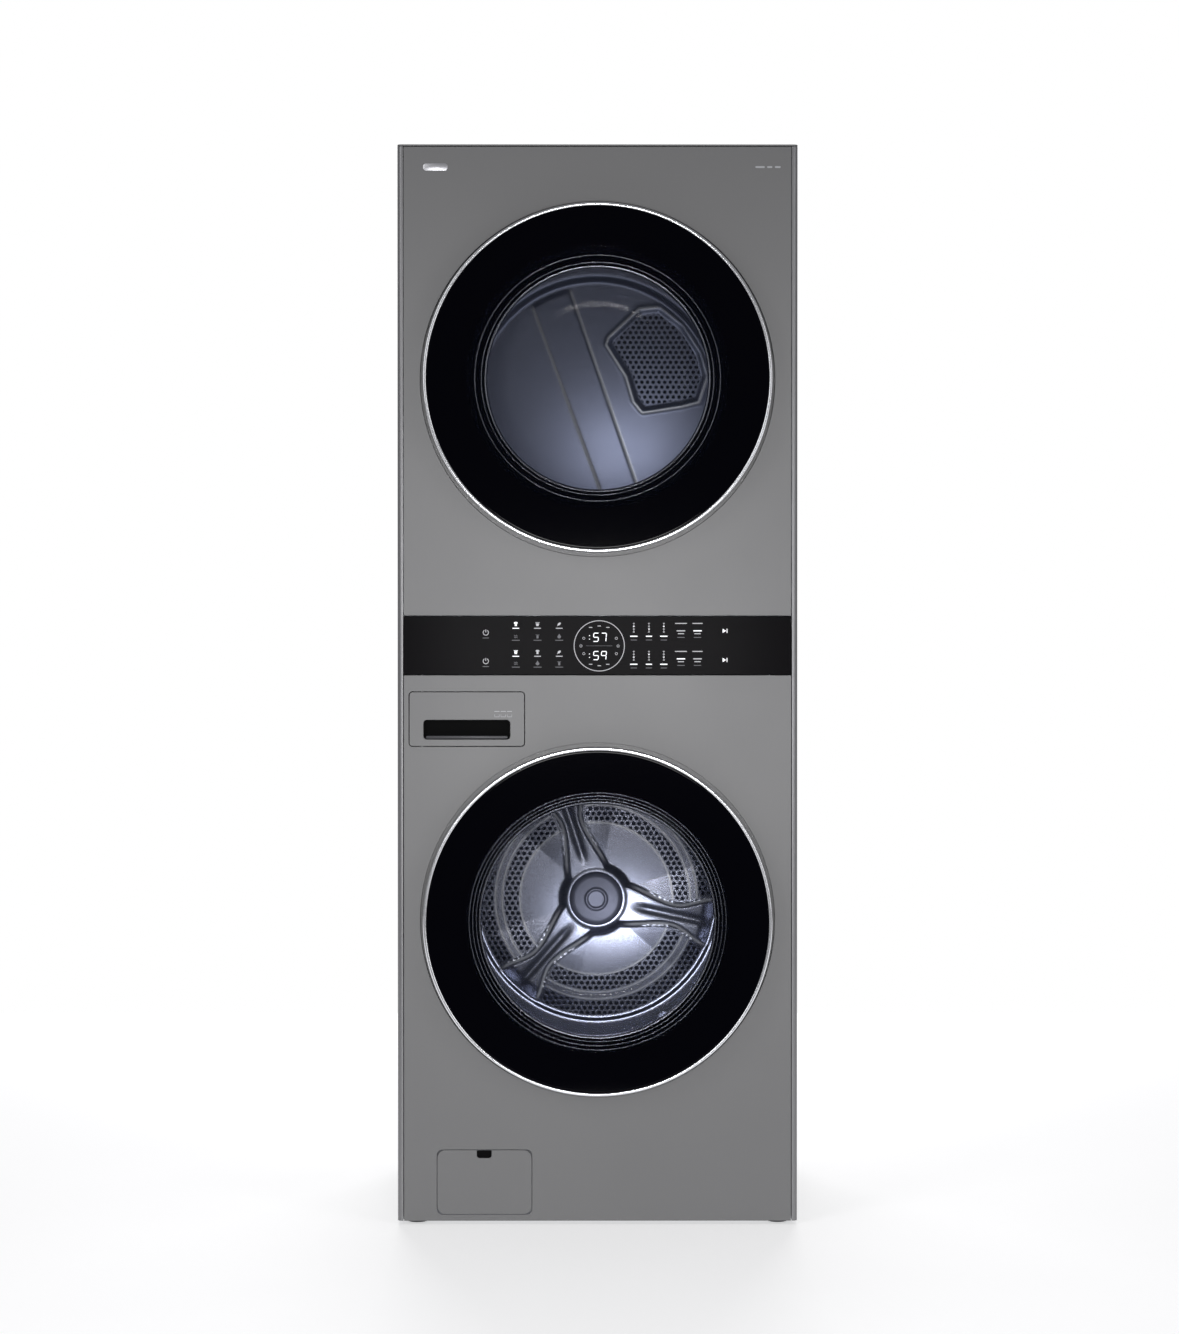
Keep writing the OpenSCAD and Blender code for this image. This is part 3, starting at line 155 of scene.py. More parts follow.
def rounded(points, radius, steps=4, closed=True):
    """A polyline with each corner replaced by a quadratic curve that starts and ends radius away from it."""
    p = np.asarray(points, float)
    n = len(p)
    radius = np.broadcast_to(radius, (n,))
    t = np.linspace(0, 1, steps + 1)[:, None]
    out = []
    for k in range(n):
        if radius[k] <= 0 or (not closed and k in (0, n - 1)):
            out.append(p[k:k + 1])
            continue
        a, b = p[k - 1] - p[k], p[(k + 1) % n] - p[k]
        la, lb = np.linalg.norm(a), np.linalg.norm(b)
        ra, rb = min(radius[k], la * 0.49), min(radius[k], lb * 0.49)
        s, e = p[k] + a / la * ra, p[k] + b / lb * rb
        out.append((1 - t) ** 2 * s + 2 * t * (1 - t) * p[k] + t ** 2 * e)
    return np.concatenate(out)


def revolved(profile, cx, cz, turns=192, a0=0.0, a1=TAU):
    """Vertices (profile x turns) of a profile of (radius, y) points turned about an axis along Y."""
    p = np.asarray(profile, float)
    a = np.linspace(a0, a1, turns, endpoint=abs(a1 - a0 - TAU) > 1e-6)
    r, y = p[:, 0:1], p[:, 1:2]
    return np.stack([cx + r * np.cos(a), np.broadcast_to(y, (len(p), len(a))), cz + r * np.sin(a)], -1)


def lathe(name, profile, cz, body, cx=0.0, closed=True, turns=192, **kw):
    """A closed profile of (radius, y) points turned a full circle about an axis along Y."""
    v = revolved(profile, cx, cz, turns)
    return finish_mesh(name, v.reshape(-1, 3), grid_faces(len(profile), turns, closed, True), body, **kw)


def outline_prism(outline, y0, y1, bevel=0.0, steps=2):
    """A closed XZ outline carried from y0 to y1, its two rims drawn in by the bevel: vertices and faces."""
    p = np.asarray(outline, float)
    n = len(p)
    d = np.roll(p, -1, 0) - np.roll(p, 1, 0)
    normal = np.stack([d[:, 1], -d[:, 0]], 1)
    normal /= np.maximum(np.linalg.norm(normal, axis=1, keepdims=True), 1e-12)
    area = np.sum(p[:, 0] * np.roll(p[:, 1], -1) - np.roll(p[:, 0], -1) * p[:, 1])
    normal *= np.sign(area)
    a = np.linspace(0, math.pi / 2, steps + 1)
    rings = [(y0, 0), (y1, 0)]
    if bevel:
        curve = [(bevel * (1 - math.sin(t)), bevel * (1 - math.cos(t))) for t in a]
        rings = [(y0 + rise, inset) for rise, inset in curve[::-1]]
        rings += [(y1 - rise, inset) for rise, inset in curve]
    v = []
    for y, inset in rings:
        q = p - normal * inset
        v.append(np.stack([q[:, 0], np.full(n, y), q[:, 1]], 1))
    faces = grid_faces(len(rings), n, False, True).tolist()
    last = (len(rings) - 1) * n
    faces.append(list(range(n)))
    faces.append(list(range(last, last + n)))
    return np.concatenate(v), faces


def rect(x0, x1, z0, z1, r=0.0, steps=6):
    """The outline of a rectangle with round corners."""
    return rounded([(x0, z0), (x1, z0), (x1, z1), (x0, z1)], r, steps) if r else np.array(
        [(x0, z0), (x1, z0), (x1, z1), (x0, z1)], float)


def disc_outline(x, z, r, n=48):
    """The outline of a circle."""
    a = np.linspace(0, TAU, n, endpoint=False)
    return np.stack([x + r * np.cos(a), z + r * np.sin(a)], 1)


def band_outline(path, width):
    """The outline of a stroke of one width along a polyline."""
    p = np.asarray(path, float)
    d = np.gradient(p, axis=0)
    d /= np.linalg.norm(d, axis=1, keepdims=True)
    n = np.stack([-d[:, 1], d[:, 0]], 1) * width / 2
    return np.concatenate([p + n, (p - n)[::-1]])


def arc_path(x, z, r, a0, a1, n=24):
    """Points along an arc, angles in degrees from +X towards +Z."""
    a = np.radians(np.linspace(a0, a1, n))
    return np.stack([x + r * np.cos(a), z + r * np.sin(a)], 1)


def joined(name, parts, body, **kw):
    """One piece from several (vertices, faces) parts."""
    verts, faces, base = [], [], 0
    for v, f in parts:
        verts.append(np.asarray(v))
        faces += [[i + base for i in q] for q in (f if isinstance(f, list) else f.tolist())]
        base += len(v)
    return finish_mesh(name, np.concatenate(verts), faces, body, **kw)


# ---- Materials ----

def srgb(*v):
    """A linear colour from 0-255 screen values."""
    c = [x / 255 for x in v]
    return tuple(x / 12.92 if x <= 0.04045 else ((x + 0.055) / 1.055) ** 2.4 for x in c) + (1.0,)


def new_group(name, inputs, outputs):
    """An empty shader node group with named sockets."""
    g = bpy.data.node_groups.new(name, "ShaderNodeTree")
    for label, kind, value in inputs:
        s = g.interface.new_socket(name=label, in_out="INPUT", socket_type=kind)
        s.default_value = value
    for label, kind in outputs:
        g.interface.new_socket(name=label, in_out="OUTPUT", socket_type=kind)
    return g, g.nodes.new("NodeGroupInput"), g.nodes.new("NodeGroupOutput")


def maths(tree, op, a, b=None, clamp=False):
    """A Math node; a and b are sockets or numbers."""
    n = tree.nodes.new("ShaderNodeMath")
    n.operation, n.use_clamp = op, clamp
    for k, v in enumerate((a, b)):
        if v is None:
            continue
        if isinstance(v, (int, float)):
            n.inputs[k].default_value = v
        else:
            tree.links.new(v, n.inputs[k])
    return n.outputs[0]


def noise(tree, vector, scale, detail=4.0, rough=0.5):
    """A noise texture's value on a vector."""
    n = tree.nodes.new("ShaderNodeTexNoise")
    for label, v in (("Detail", detail), ("Roughness", rough)):
        n.inputs[label].default_value = v
    if isinstance(scale, (int, float)):
        n.inputs["Scale"].default_value = scale
    else:
        tree.links.new(scale, n.inputs["Scale"])
    tree.links.new(vector, n.inputs["Vector"])
    return n.outputs["Fac"]


def finish_group():
    """A finish's small changes: cloudy tone, fine grain drawn out one way, and smudges in the gloss.

    Grain is noise on coordinates multiplied by Stretch; Tone mixes the two colours by cloudy noise;
    Roughness is the plain value plus a share of each noise; Height is the grain.
    """
    g, i, o = new_group("finish", [
        ("Colour", "NodeSocketColor", (0.5, 0.5, 0.5, 1)), ("Other", "NodeSocketColor", (0.4, 0.4, 0.4, 1)),
        ("Cloud", "NodeSocketFloat", 3.0), ("Grain", "NodeSocketFloat", 900.0),
        ("Stretch", "NodeSocketVector", (1, 1, 1)), ("Roughness", "NodeSocketFloat", 0.4),
        ("Spread", "NodeSocketFloat", 0.08)],
        [("Colour", "NodeSocketColor"), ("Roughness", "NodeSocketFloat"), ("Height", "NodeSocketFloat")])
    place = g.nodes.new("ShaderNodeTexCoord").outputs["Object"]
    cloud = noise(g, place, i.outputs["Cloud"], 3.0)
    stretch = g.nodes.new("ShaderNodeVectorMath")
    stretch.operation = "MULTIPLY"
    g.links.new(place, stretch.inputs[0])
    g.links.new(i.outputs["Stretch"], stretch.inputs[1])
    grain = noise(g, stretch.outputs[0], i.outputs["Grain"], 2.0)
    mix = g.nodes.new("ShaderNodeMix")
    mix.data_type = "RGBA"
    tone = maths(g, "ADD", maths(g, "MULTIPLY", cloud, 0.7), maths(g, "MULTIPLY", grain, 0.3))
    g.links.new(tone, mix.inputs["Factor"])
    g.links.new(i.outputs["Colour"], mix.inputs["A"])
    g.links.new(i.outputs["Other"], mix.inputs["B"])
    g.links.new(mix.outputs["Result"], o.inputs["Colour"])
    off = maths(g, "MULTIPLY", maths(g, "SUBTRACT", tone, 0.5), i.outputs["Spread"])
    g.links.new(maths(g, "ADD", i.outputs["Roughness"], maths(g, "MULTIPLY", off, 4.0), clamp=True),
                o.inputs["Roughness"])
    g.links.new(grain, o.inputs["Height"])
    return g


FINISH = finish_group()


def material(name, colour, other=None, rough=0.4, spread=0.04, metal=0.0, grain=900.0, stretch=(1, 1, 1),
             cloud=3.0, bump=0.1, bump_d=0.0001, **constants):
    """A Principled material with the finish group on its colour, roughness and bump."""
    m = bpy.data.materials.new(name)
    m.use_nodes = True
    t = m.node_tree
    p = t.nodes["Principled BSDF"]
    f = t.nodes.new("ShaderNodeGroup")
    f.node_tree = FINISH
    f.inputs["Colour"].default_value = colour
    f.inputs["Other"].default_value = other or tuple(c * 0.9 for c in colour[:3]) + (1,)
    for label, v in (("Roughness", rough), ("Spread", spread), ("Grain", grain), ("Stretch", stretch),
                     ("Cloud", cloud)):
        f.inputs[label].default_value = v
    t.links.new(f.outputs["Colour"], p.inputs["Base Color"])
    t.links.new(f.outputs["Roughness"], p.inputs["Roughness"])
    if bump:
        b = t.nodes.new("ShaderNodeBump")
        b.inputs["Strength"].default_value, b.inputs["Distance"].default_value = bump, bump_d
        t.links.new(f.outputs["Height"], b.inputs["Height"])
        t.links.new(b.outputs["Normal"], p.inputs["Normal"])
    p.inputs["Metallic"].default_value = metal
    for label, v in constants.items():
        p.inputs[label.replace("_", " ")].default_value = v
    m.diffuse_color = colour
    return m


def glass(name, colour, alpha, rough=0.03, **constants):
    """A clear pane: what is behind shows by its Alpha, and its gloss is the shader's own."""
    m = bpy.data.materials.new(name)
    m.use_nodes = True
    p = m.node_tree.nodes["Principled BSDF"]
    p.inputs["Base Color"].default_value = colour
    p.inputs["Roughness"].default_value = rough
    p.inputs["Alpha"].default_value = alpha
    for label, v in constants.items():
        p.inputs[label.replace("_", " ")].default_value = v
    m.diffuse_color = colour
    return m


def light_ink(name, colour, strength):
    """Ink lit from behind on the control panel."""
    return material(name, colour, rough=0.4, bump=0, Emission_Strength=strength, Emission_Color=colour)


M = {
    "steel_face": material("graphite_steel", srgb(118, 118, 119), srgb(112, 112, 113), 0.42, 0.03, 0.55,
                           1400, (1, 1, 0.02), 2.0, 0.05),
    # The side panels: the front's graphite steel painted lighter and glossier, a painted highlight standing
    # in for light caught on their rounded front corners
    "side_steel_painted_highlight": material("graphite_side", srgb(136, 136, 138), srgb(130, 130, 132), 0.34, 0.03, 0.65,
                           1400, (1, 1, 0.02), 2.0, 0.05),
    "zinc": material("zinc_sheet", srgb(168, 170, 174), srgb(140, 143, 148), 0.38, 0.12, 0.9, 500,
                     (1, 1, 1), 30.0),
    "drum_steel": material("drum_steel", srgb(150, 153, 168), srgb(134, 137, 152), 0.26, 0.05, 1.0,
                           900, (1, 0.04, 1), 4.0, 0.12),
    "part_steel": material("part_steel", srgb(176, 178, 182), None, 0.32, 0.06, 1.0, 700),
    "cast": material("cast_aluminium", srgb(170, 172, 176), srgb(150, 152, 158), 0.5, 0.1, 0.9, 1200,
                     bump=0.5, bump_d=0.0003),
    "chrome": material("bright_trim", srgb(235, 236, 240), srgb(225, 226, 230), 0.14, 0.02, 1.0, 600,
                       bump=0.02),
    "black_gloss": material("black_gloss", srgb(5, 6, 11), srgb(3, 4, 8), 0.14, 0.02, 0.0, 300, bump=0.02,
                            Specular_IOR_Level=0.12),
    "printed_glass": material("printed_glass", srgb(2, 2, 7), srgb(1, 1, 5), 0.05, 0.01, 0.0, 100, bump=0.0,
                              Specular_IOR_Level=0.05),
    "panel_glass": material("panel_glass", srgb(24, 23, 25), srgb(22, 21, 23), 0.12, 0.01, 0.0, 100, bump=0.0,
                            Specular_IOR_Level=0.005),
    "dark_plastic": material("dark_plastic", srgb(34, 35, 38), srgb(28, 29, 32), 0.5, 0.06, 0.0, 1500,
                             bump=0.3),
    "grey_plastic": material("grey_plastic", srgb(150, 152, 158), srgb(138, 140, 147), 0.45, 0.06, 0.0, 1500,
                             bump=0.3),
    "white_plastic": material("white_plastic", srgb(222, 223, 226), srgb(214, 215, 219), 0.4, 0.05, 0.0, 1500,
                              bump=0.2),
    "rubber": material("rubber", srgb(52, 53, 58), srgb(42, 43, 48), 0.55, 0.1, 0.0, 900,
                       bump=0.4, bump_d=0.0003),
    "ballast": material("ballast", srgb(150, 147, 142), srgb(118, 115, 110), 0.85, 0.1, 0.0, 220, cloud=60.0,
                        bump=1.0, bump_d=0.001),
    "copper": material("copper_winding", srgb(176, 96, 58), srgb(140, 70, 40), 0.35, 0.1, 0.8, 200, (1, 8, 1),
                       bump=0.6, bump_d=0.001),
    "pane": glass("tinted_pane", srgb(6, 8, 18), 0.30, 0.02, Specular_IOR_Level=0.08),
    "bowl": glass("bowl_glass", srgb(150, 160, 185), 0.06, 0.03, Specular_IOR_Level=0.9),
    "ink": light_ink("panel_ink", srgb(190, 190, 195), 0.35),
    "ink_dim": light_ink("panel_ink_dim", srgb(110, 110, 116), 0.12),
    "digits": light_ink("panel_digits", srgb(235, 236, 240), 1.0),
    "grey_mark": material("grey_mark", srgb(176, 177, 181), None, 0.4, 0.02, 0.3, bump=0.0),
}
CLASSES = {
    "steel_face": ["top_panel", "dryer_front_panel", "washer_front_panel", "detergent_drawer", "filter_door"],
    "side_steel_painted_highlight": ["side_panel_left", "side_panel_right"],
    "zinc": ["rear_panel", "base_frame", "divider_shelf", "dryer_front_bulkhead", "exhaust_duct",
             "heater_box", "terminal_block", "dryer_rear_bulkhead"],
    "part_steel": ["door_hinges", "washer_door_hook", "dryer_motor", "idler_arm", "drum_bearings",
                   "damper_rods", "rear_screws", "motor_rotor", "suspension_springs"],
    "drum_steel": ["dryer_drum", "washer_drum"],
    "cast": ["drum_spider"],
    "panel_glass": ["control_fascia"],
    "dark_plastic": ["control_board", "idler_wheel", "damper_cylinders", "foot_front_left",
                     "foot_front_right", "foot_rear_left", "foot_rear_right"],
    "grey_plastic": ["lint_filter", "blower_housing", "dispenser_housing", "drain_pump", "motor_shaft",
                     "tub_front", "tub_rear", "washer_lifters"],
    "white_plastic": ["inlet_valves"],
    "rubber": ["drive_belt", "roller_left", "roller_right", "door_gasket", "tub_hoses"],
    "ballast": ["counterweights"],
    "copper": ["motor_stator"],
}


def finish_nodes():
    """Gives each CAD node its material."""
    for key, names in CLASSES.items():
        for name in names:
            node = frame["nodes"][name]
            node.data.materials.clear()
            node.data.materials.append(M[key])


finish_nodes()


def paint(piece, *keys):
    """Gives a piece its materials."""
    piece.data.materials.clear()
    for key in keys:
        piece.data.materials.append(M[key] if isinstance(key, str) else key)
    return piece


M["rim"] = material("window_rim", srgb(196, 200, 214), None, 0.2, 0.02, 1.0, 300, bump=0.0)
M["hub"] = material("hub_cap_steel", srgb(132, 134, 152), srgb(124, 126, 144), 0.42, 0.03, 0.35, 500,
                    bump=0.1)
M["gasket"] = material("seal_rubber", srgb(104, 108, 124), srgb(88, 92, 108), 0.36, 0.08, 0.0, 700,
                       cloud=20.0, bump=0.3, bump_d=0.0003)
# Near-black with almost no gloss: painted shade standing in for the shadow inside the drawer's grip pocket
# and the filter door's finger pocket
M["recess"] = material("recess_painted_shade", srgb(7, 7, 8), srgb(5, 5, 6), 0.5, 0.05, 0.0, 900, bump=0.1,
                       Specular_IOR_Level=0.05)
M["lip"] = material("grip_lip", srgb(74, 74, 78), srgb(66, 66, 70), 0.35, 0.05, 0.3, 900, bump=0.1)
M["nameplate"] = material("nameplate", srgb(200, 200, 204), srgb(188, 188, 193), 0.3, 0.05, 0.8, 900,
                          (0.05, 1, 1), bump=0.2)
M["ink_bright"] = light_ink("panel_ink_bright", srgb(235, 236, 240), 0.9)


# ---- Smoothed copies of CAD shells ----

def refined(node, body, key, bevel=0.7, segments=2, angle=30):
    """A CAD node's own shape as a new piece: doubles merged, flat faces joined and its edges rounded."""
    source = frame["nodes"][node]
    bm = bmesh.new()
    bm.from_mesh(source.data)
    bmesh.ops.remove_doubles(bm, verts=bm.verts, dist=2e-6)
    bmesh.ops.dissolve_limit(bm, angle_limit=math.radians(0.4), verts=bm.verts, edges=bm.edges)
    mesh = bpy.data.meshes.new(node + "_shell")
    bm.to_mesh(mesh)
    bm.free()
    mesh.polygons.foreach_set("use_smooth", [True] * len(mesh.polygons))
    mesh.set_sharp_from_angle(angle=math.radians(angle))
    piece = bpy.data.objects.new(node + "_shell", mesh)
    bpy.context.scene.collection.objects.link(piece)
    if bevel:
        m = piece.modifiers.new("edges", "BEVEL")
        m.width, m.segments, m.limit_method = bevel * MM, segments, "ANGLE"
        m.angle_limit = math.radians(angle)
        m.harden_normals = True
        m.use_clamp_overlap = True
        piece.modifiers.new("normals", "WEIGHTED_NORMAL").keep_sharp = True
    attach(piece, body)
    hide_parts(node)
    return paint(piece, key)


for node, body, key in (
        ("dryer_front_panel", "cabinet", "steel_face"), ("washer_front_panel", "cabinet", "steel_face"),
        ("drive_belt", "cabinet", "rubber"), ("roller_left", "roller_left", "rubber"),
        ("roller_right", "roller_right", "rubber"),
        ("top_panel", "cabinet", "steel_face"), ("detergent_drawer", "detergent_drawer", "steel_face"),
        ("filter_door", "filter_door", "steel_face"), ("control_fascia", "cabinet", "panel_glass"),
        ("dryer_door_frame", "dryer_door", "black_gloss"),
        ("washer_door_frame", "washer_door", "black_gloss"),
        ("rear_panel", "cabinet", "zinc"), ("exhaust_duct", "cabinet", "zinc"),
        ("inlet_valves", "cabinet", "white_plastic"), ("terminal_block", "cabinet", "zinc"),
        ("foot_front_left", "foot_front_left", "dark_plastic"),
        ("foot_front_right", "foot_front_right", "dark_plastic"),
        ("foot_rear_left", "foot_rear_left", "dark_plastic"),
        ("foot_rear_right", "foot_rear_right", "dark_plastic"), ("door_hinges", "cabinet", "part_steel")):
    refined(node, body, key)
# Side panels get the lighter steel: a painted highlight on their front corners
for node in ("side_panel_left", "side_panel_right"):
    refined(node, "cabinet", "side_steel_painted_highlight", bevel=1.5, segments=4)




# ---- Doors ----

RIM_R = 228 * MM
GLASS_T = 4 * MM


def door_pieces(d, beads, funnel_y):
    """The bright ring, printed border, tinted pane, window rim, beads and glass bowl of one door."""
    r, f, gy = d.r, d.front, d.glass_y
    ring = rounded([(r - 6 * MM, f + 1 * MM), (r - 4.6 * MM, f), (r - 1.6 * MM, f), (r, f + 1.8 * MM),
                    (r, f + 14 * MM), (r - 2 * MM, f + 14 * MM), (r - 2 * MM, f + 5 * MM),
                    (r - 6 * MM, f + 5 * MM)], 0.9 * MM)
    paint(lathe(d.name + "_door_ring", ring, d.z, d.body, turns=256, slot="chrome_trim",
                replaces=[d.name + "_door_trim"]), "chrome")
    g = d.glass_r
    border = rounded([(RIM_R, gy), (g - 3 * MM, gy), (g, gy), (g, gy + GLASS_T), (RIM_R, gy + GLASS_T)],
                     [0, 0, 1.2 * MM, 0.5 * MM, 0])
    paint(lathe(d.name + "_door_border", border, d.z, d.body, turns=256, slot="tinted_glass",
                replaces=[d.name + "_door_glass"]), "printed_glass")
    inner = RIM_R - 0.05 * MM
    pane = [(0, gy), (inner, gy), (inner, gy + GLASS_T), (0, gy + GLASS_T)]
    paint(lathe(d.name + "_door_pane", pane, d.z, d.body, turns=128, slot="tinted_glass"), "pane")
    w, y0, depth = d.window_r, d.bowl_y0, d.bowl_y1 - 3 * MM - d.bowl_y0
    outer = [(w + 8 * MM, y0), (w + 8 * MM, y0 + 4 * MM), (w - 3 * MM, y0 + 4 * MM),
             (w - 19 * MM, y0 + depth * 0.7), (w - 32 * MM, y0 + depth * 0.93), (w - 56 * MM, y0 + depth),
             (0, y0 + depth + 3 * MM)]
    inside = [(0, y0 + depth - 1 * MM), (w - 58 * MM, y0 + depth - 4 * MM),
              (w - 37 * MM, y0 + depth * 0.93 - 4 * MM), (w - 24 * MM, y0 + depth * 0.7 - 2 * MM),
              (w - 10 * MM, y0)]
    bends = [1, 1, 2.5, 14, 12, 20, 0, 0, 18, 10, 12, 3]
    bowl = rounded(outer + inside, [b * MM for b in bends], 6)
    paint(lathe(d.name + "_door_glass_bowl", bowl, d.z, d.body, turns=224, slot="clear_glass",
                replaces=[d.name + "_door_bowl"]), "bowl")
    # A satin metal ring clamps the bowl round the window
    y = d.back - 9 * MM
    clamp = rounded([(w - 3 * MM, y), (w - 1 * MM, y - 3 * MM), (w + 1.5 * MM, y - 3.5 * MM),
                     (w + 2 * MM, y - 1 * MM), (w + 0.5 * MM, y + 1 * MM), (w - 3 * MM, y + 3 * MM)],
                    0.8 * MM)
    paint(lathe(d.name + "_door_window_rim", clamp, d.z, d.body, turns=224, slot="black_plastic"), "rim")
    # Fine beads on the funnel between the window and the border
    for k, at in enumerate(beads):
        t = (at * MM - w) / (RIM_R - w)
        by = (d.back - 8 * MM) * (1 - t) + funnel_y * t - 0.5 * MM
        bead = disc_outline(at * MM, by, 0.9 * MM, 12)
        name = d.name + "_door_bead_" + str(k + 1)
        paint(lathe(name, bead, d.z, d.body, turns=224, slot="black_plastic"), "rim")


for door, beads in ((DRYER, (203, 214)), (WASHER, (212, 218, 224))):
    door_pieces(door, beads, door.glass_y + 4.8 * MM)


# ---- Sheets seen through the windows ----

def smooth(x, lo, hi):
    """0 below lo, 1 above hi and a smooth step between."""
    t = np.clip((x - lo) / (hi - lo), 0, 1)
    return t * t * (3 - 2 * t)


def polygon_distance(x, z, corners):
    """Signed distance of each point to a polygon's edge, positive inside."""
    p = np.asarray(corners, float)
    best = np.full(x.shape, 1e9)
    inside = np.zeros(x.shape, bool)
    for a, b in zip(p, np.roll(p, -1, 0)):
        e = b - a
        t = np.clip(((x - a[0]) * e[0] + (z - a[1]) * e[1]) / (e @ e), 0, 1)
        best = np.minimum(best, np.hypot(x - a[0] - t * e[0], z - a[1] - t * e[1]))
        cross = ((a[1] > z) != (b[1] > z)) & (x < (b[0] - a[0]) * (z - a[1]) / (b[1] - a[1] + 1e-12) + a[0])
        inside ^= cross
    return np.where(inside, best, -best)


def pressed_disc(name, cz, r, y, thickness, height, body, mask, polish, rings=110, turns=480, **kw):
    """A round sheet whose front stands out by height(x, z) from y, on a polar grid, closed by a flat back.

    height, mask and the painted-highlight function take coordinates from the disc's centre. mask goes to the
    holes attribute and the painted highlights, lighter lines where light catches the pressed edges, to the
    attribute of the same name, and the sheet UV map is the coordinates in metres.
    """
    rr = np.concatenate([[0], np.linspace(0.01 * r, r, rings)])
    a = np.linspace(0, TAU, turns, endpoint=False)
    rr, a = np.meshgrid(rr, a, indexing="ij")
    x, z = rr * np.cos(a), rr * np.sin(a)
    front = np.stack([x, y - height(x, z), cz + z], -1)
    back = np.stack([x[[-1, 0]], np.full((2, turns), y + thickness), cz + z[[-1, 0]]], -1)
    v = np.concatenate([front, back]).reshape(-1, 3)
    piece = finish_mesh(name, v, grid_faces(rings + 3, turns, False, True), body, **kw)
    sheet_map(piece, lambda p: (p[:, 0], p[:, 2] - cz))
    vertex_values(piece, "holes", lambda p: mask(p[:, 0], p[:, 2] - cz))
    # This attribute holds painted highlights: lighter lines standing in for light caught on the pressed edges
    vertex_values(piece, "polish", lambda p: polish(p[:, 0], p[:, 2] - cz))
    return piece


def corner_points(piece):
    """Each face corner's vertex position, as an array."""
    mesh = piece.data
    co = np.empty(len(mesh.vertices) * 3)
    mesh.vertices.foreach_get("co", co)
    at = np.empty(len(mesh.loops), np.int64)
    mesh.loops.foreach_get("vertex_index", at)
    return co.reshape(-1, 3)[at]


def sheet_map(piece, place):
    """A UV map in metres, from a function of positions to two coordinates."""
    u, v = place(corner_points(piece))
    layer = piece.data.uv_layers.new(name="sheet")
    layer.data.foreach_set("uv", np.stack([u, v], -1).ravel())


def vertex_values(piece, name, value):
    """An attribute worked out from each vertex's position."""
    mesh = piece.data
    co = np.empty(len(mesh.vertices) * 3)
    mesh.vertices.foreach_get("co", co)
    layer = mesh.attributes.new(name, "FLOAT", "POINT")
    layer.data.foreach_set("value", value(co.reshape(-1, 3)).astype(np.float32))


INLET = np.array([(84, 176), (26, 122), (22, 110), (60, 50), (74, 2), (90, -18), (166, -6), (196, 2),
                  (212, 50), (200, 94), (166, 146), (122, 180)]) * MM
BAND = [np.array([(-42, 190), (92, -200)]) * MM, np.array([(-112, 152), (20, -205)]) * MM]


def line_distance(x, z, ends):
    """Signed distance to the line through two points, positive on its right."""
    (x0, z0), (x1, z1) = ends
    dx, dz = x1 - x0, z1 - z0
    return ((x - x0) * -dz + (z - z0) * dx) / math.hypot(dx, dz)


def dryer_rear_height(x, z):
    """The rear wall's pressing: a dished rim, a band across it and a raised lip round the air inlet."""
    r = np.hypot(x, z)
    rim = 10 * MM * smooth(r, 226 * MM, 244 * MM)
    right, left = line_distance(x, z, BAND[0]), line_distance(x, z, BAND[1])
    band = 1.6 * MM * smooth(left, -3 * MM, 6 * MM) * (1 - smooth(right, -6 * MM, 3 * MM))
    d = polygon_distance(x, z, INLET)
    lip = 1.8 * MM * np.exp(-((d + 2 * MM) / (4.5 * MM)) ** 2)
    dish = -2 * MM * smooth(d, 2 * MM, 9 * MM)
    inside = 1 - smooth(r, 214 * MM, 224 * MM)
    return rim + band * inside * (1 - smooth(d, -16 * MM, -6 * MM)) + lip + dish


def dryer_painted_highlights(x, z):
    """Painted highlights on the pressing's edges: how much lighter the two sides of the band and the inlet's
    lip are painted, standing in for light caught there.
    """
    inside = 1 - smooth(np.hypot(x, z), 214 * MM, 224 * MM)
    d = polygon_distance(x, z, INLET)
    sides = sum(np.exp(-((line_distance(x, z, ends) - 1 * MM) / (2.6 * MM)) ** 2) for ends in BAND)
    lip = np.exp(-((d + 3 * MM) / (2.2 * MM)) ** 2)
    return np.clip(inside * (sides * (1 - smooth(d, -16 * MM, -6 * MM)) * 0.8 + lip * 0.8), 0, 1)


REAR_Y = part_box("dryer_rear_bulkhead")[1][1] - 2 * MM


ROOT_3 = 1.732
HOLE_GAP = 13 * MM


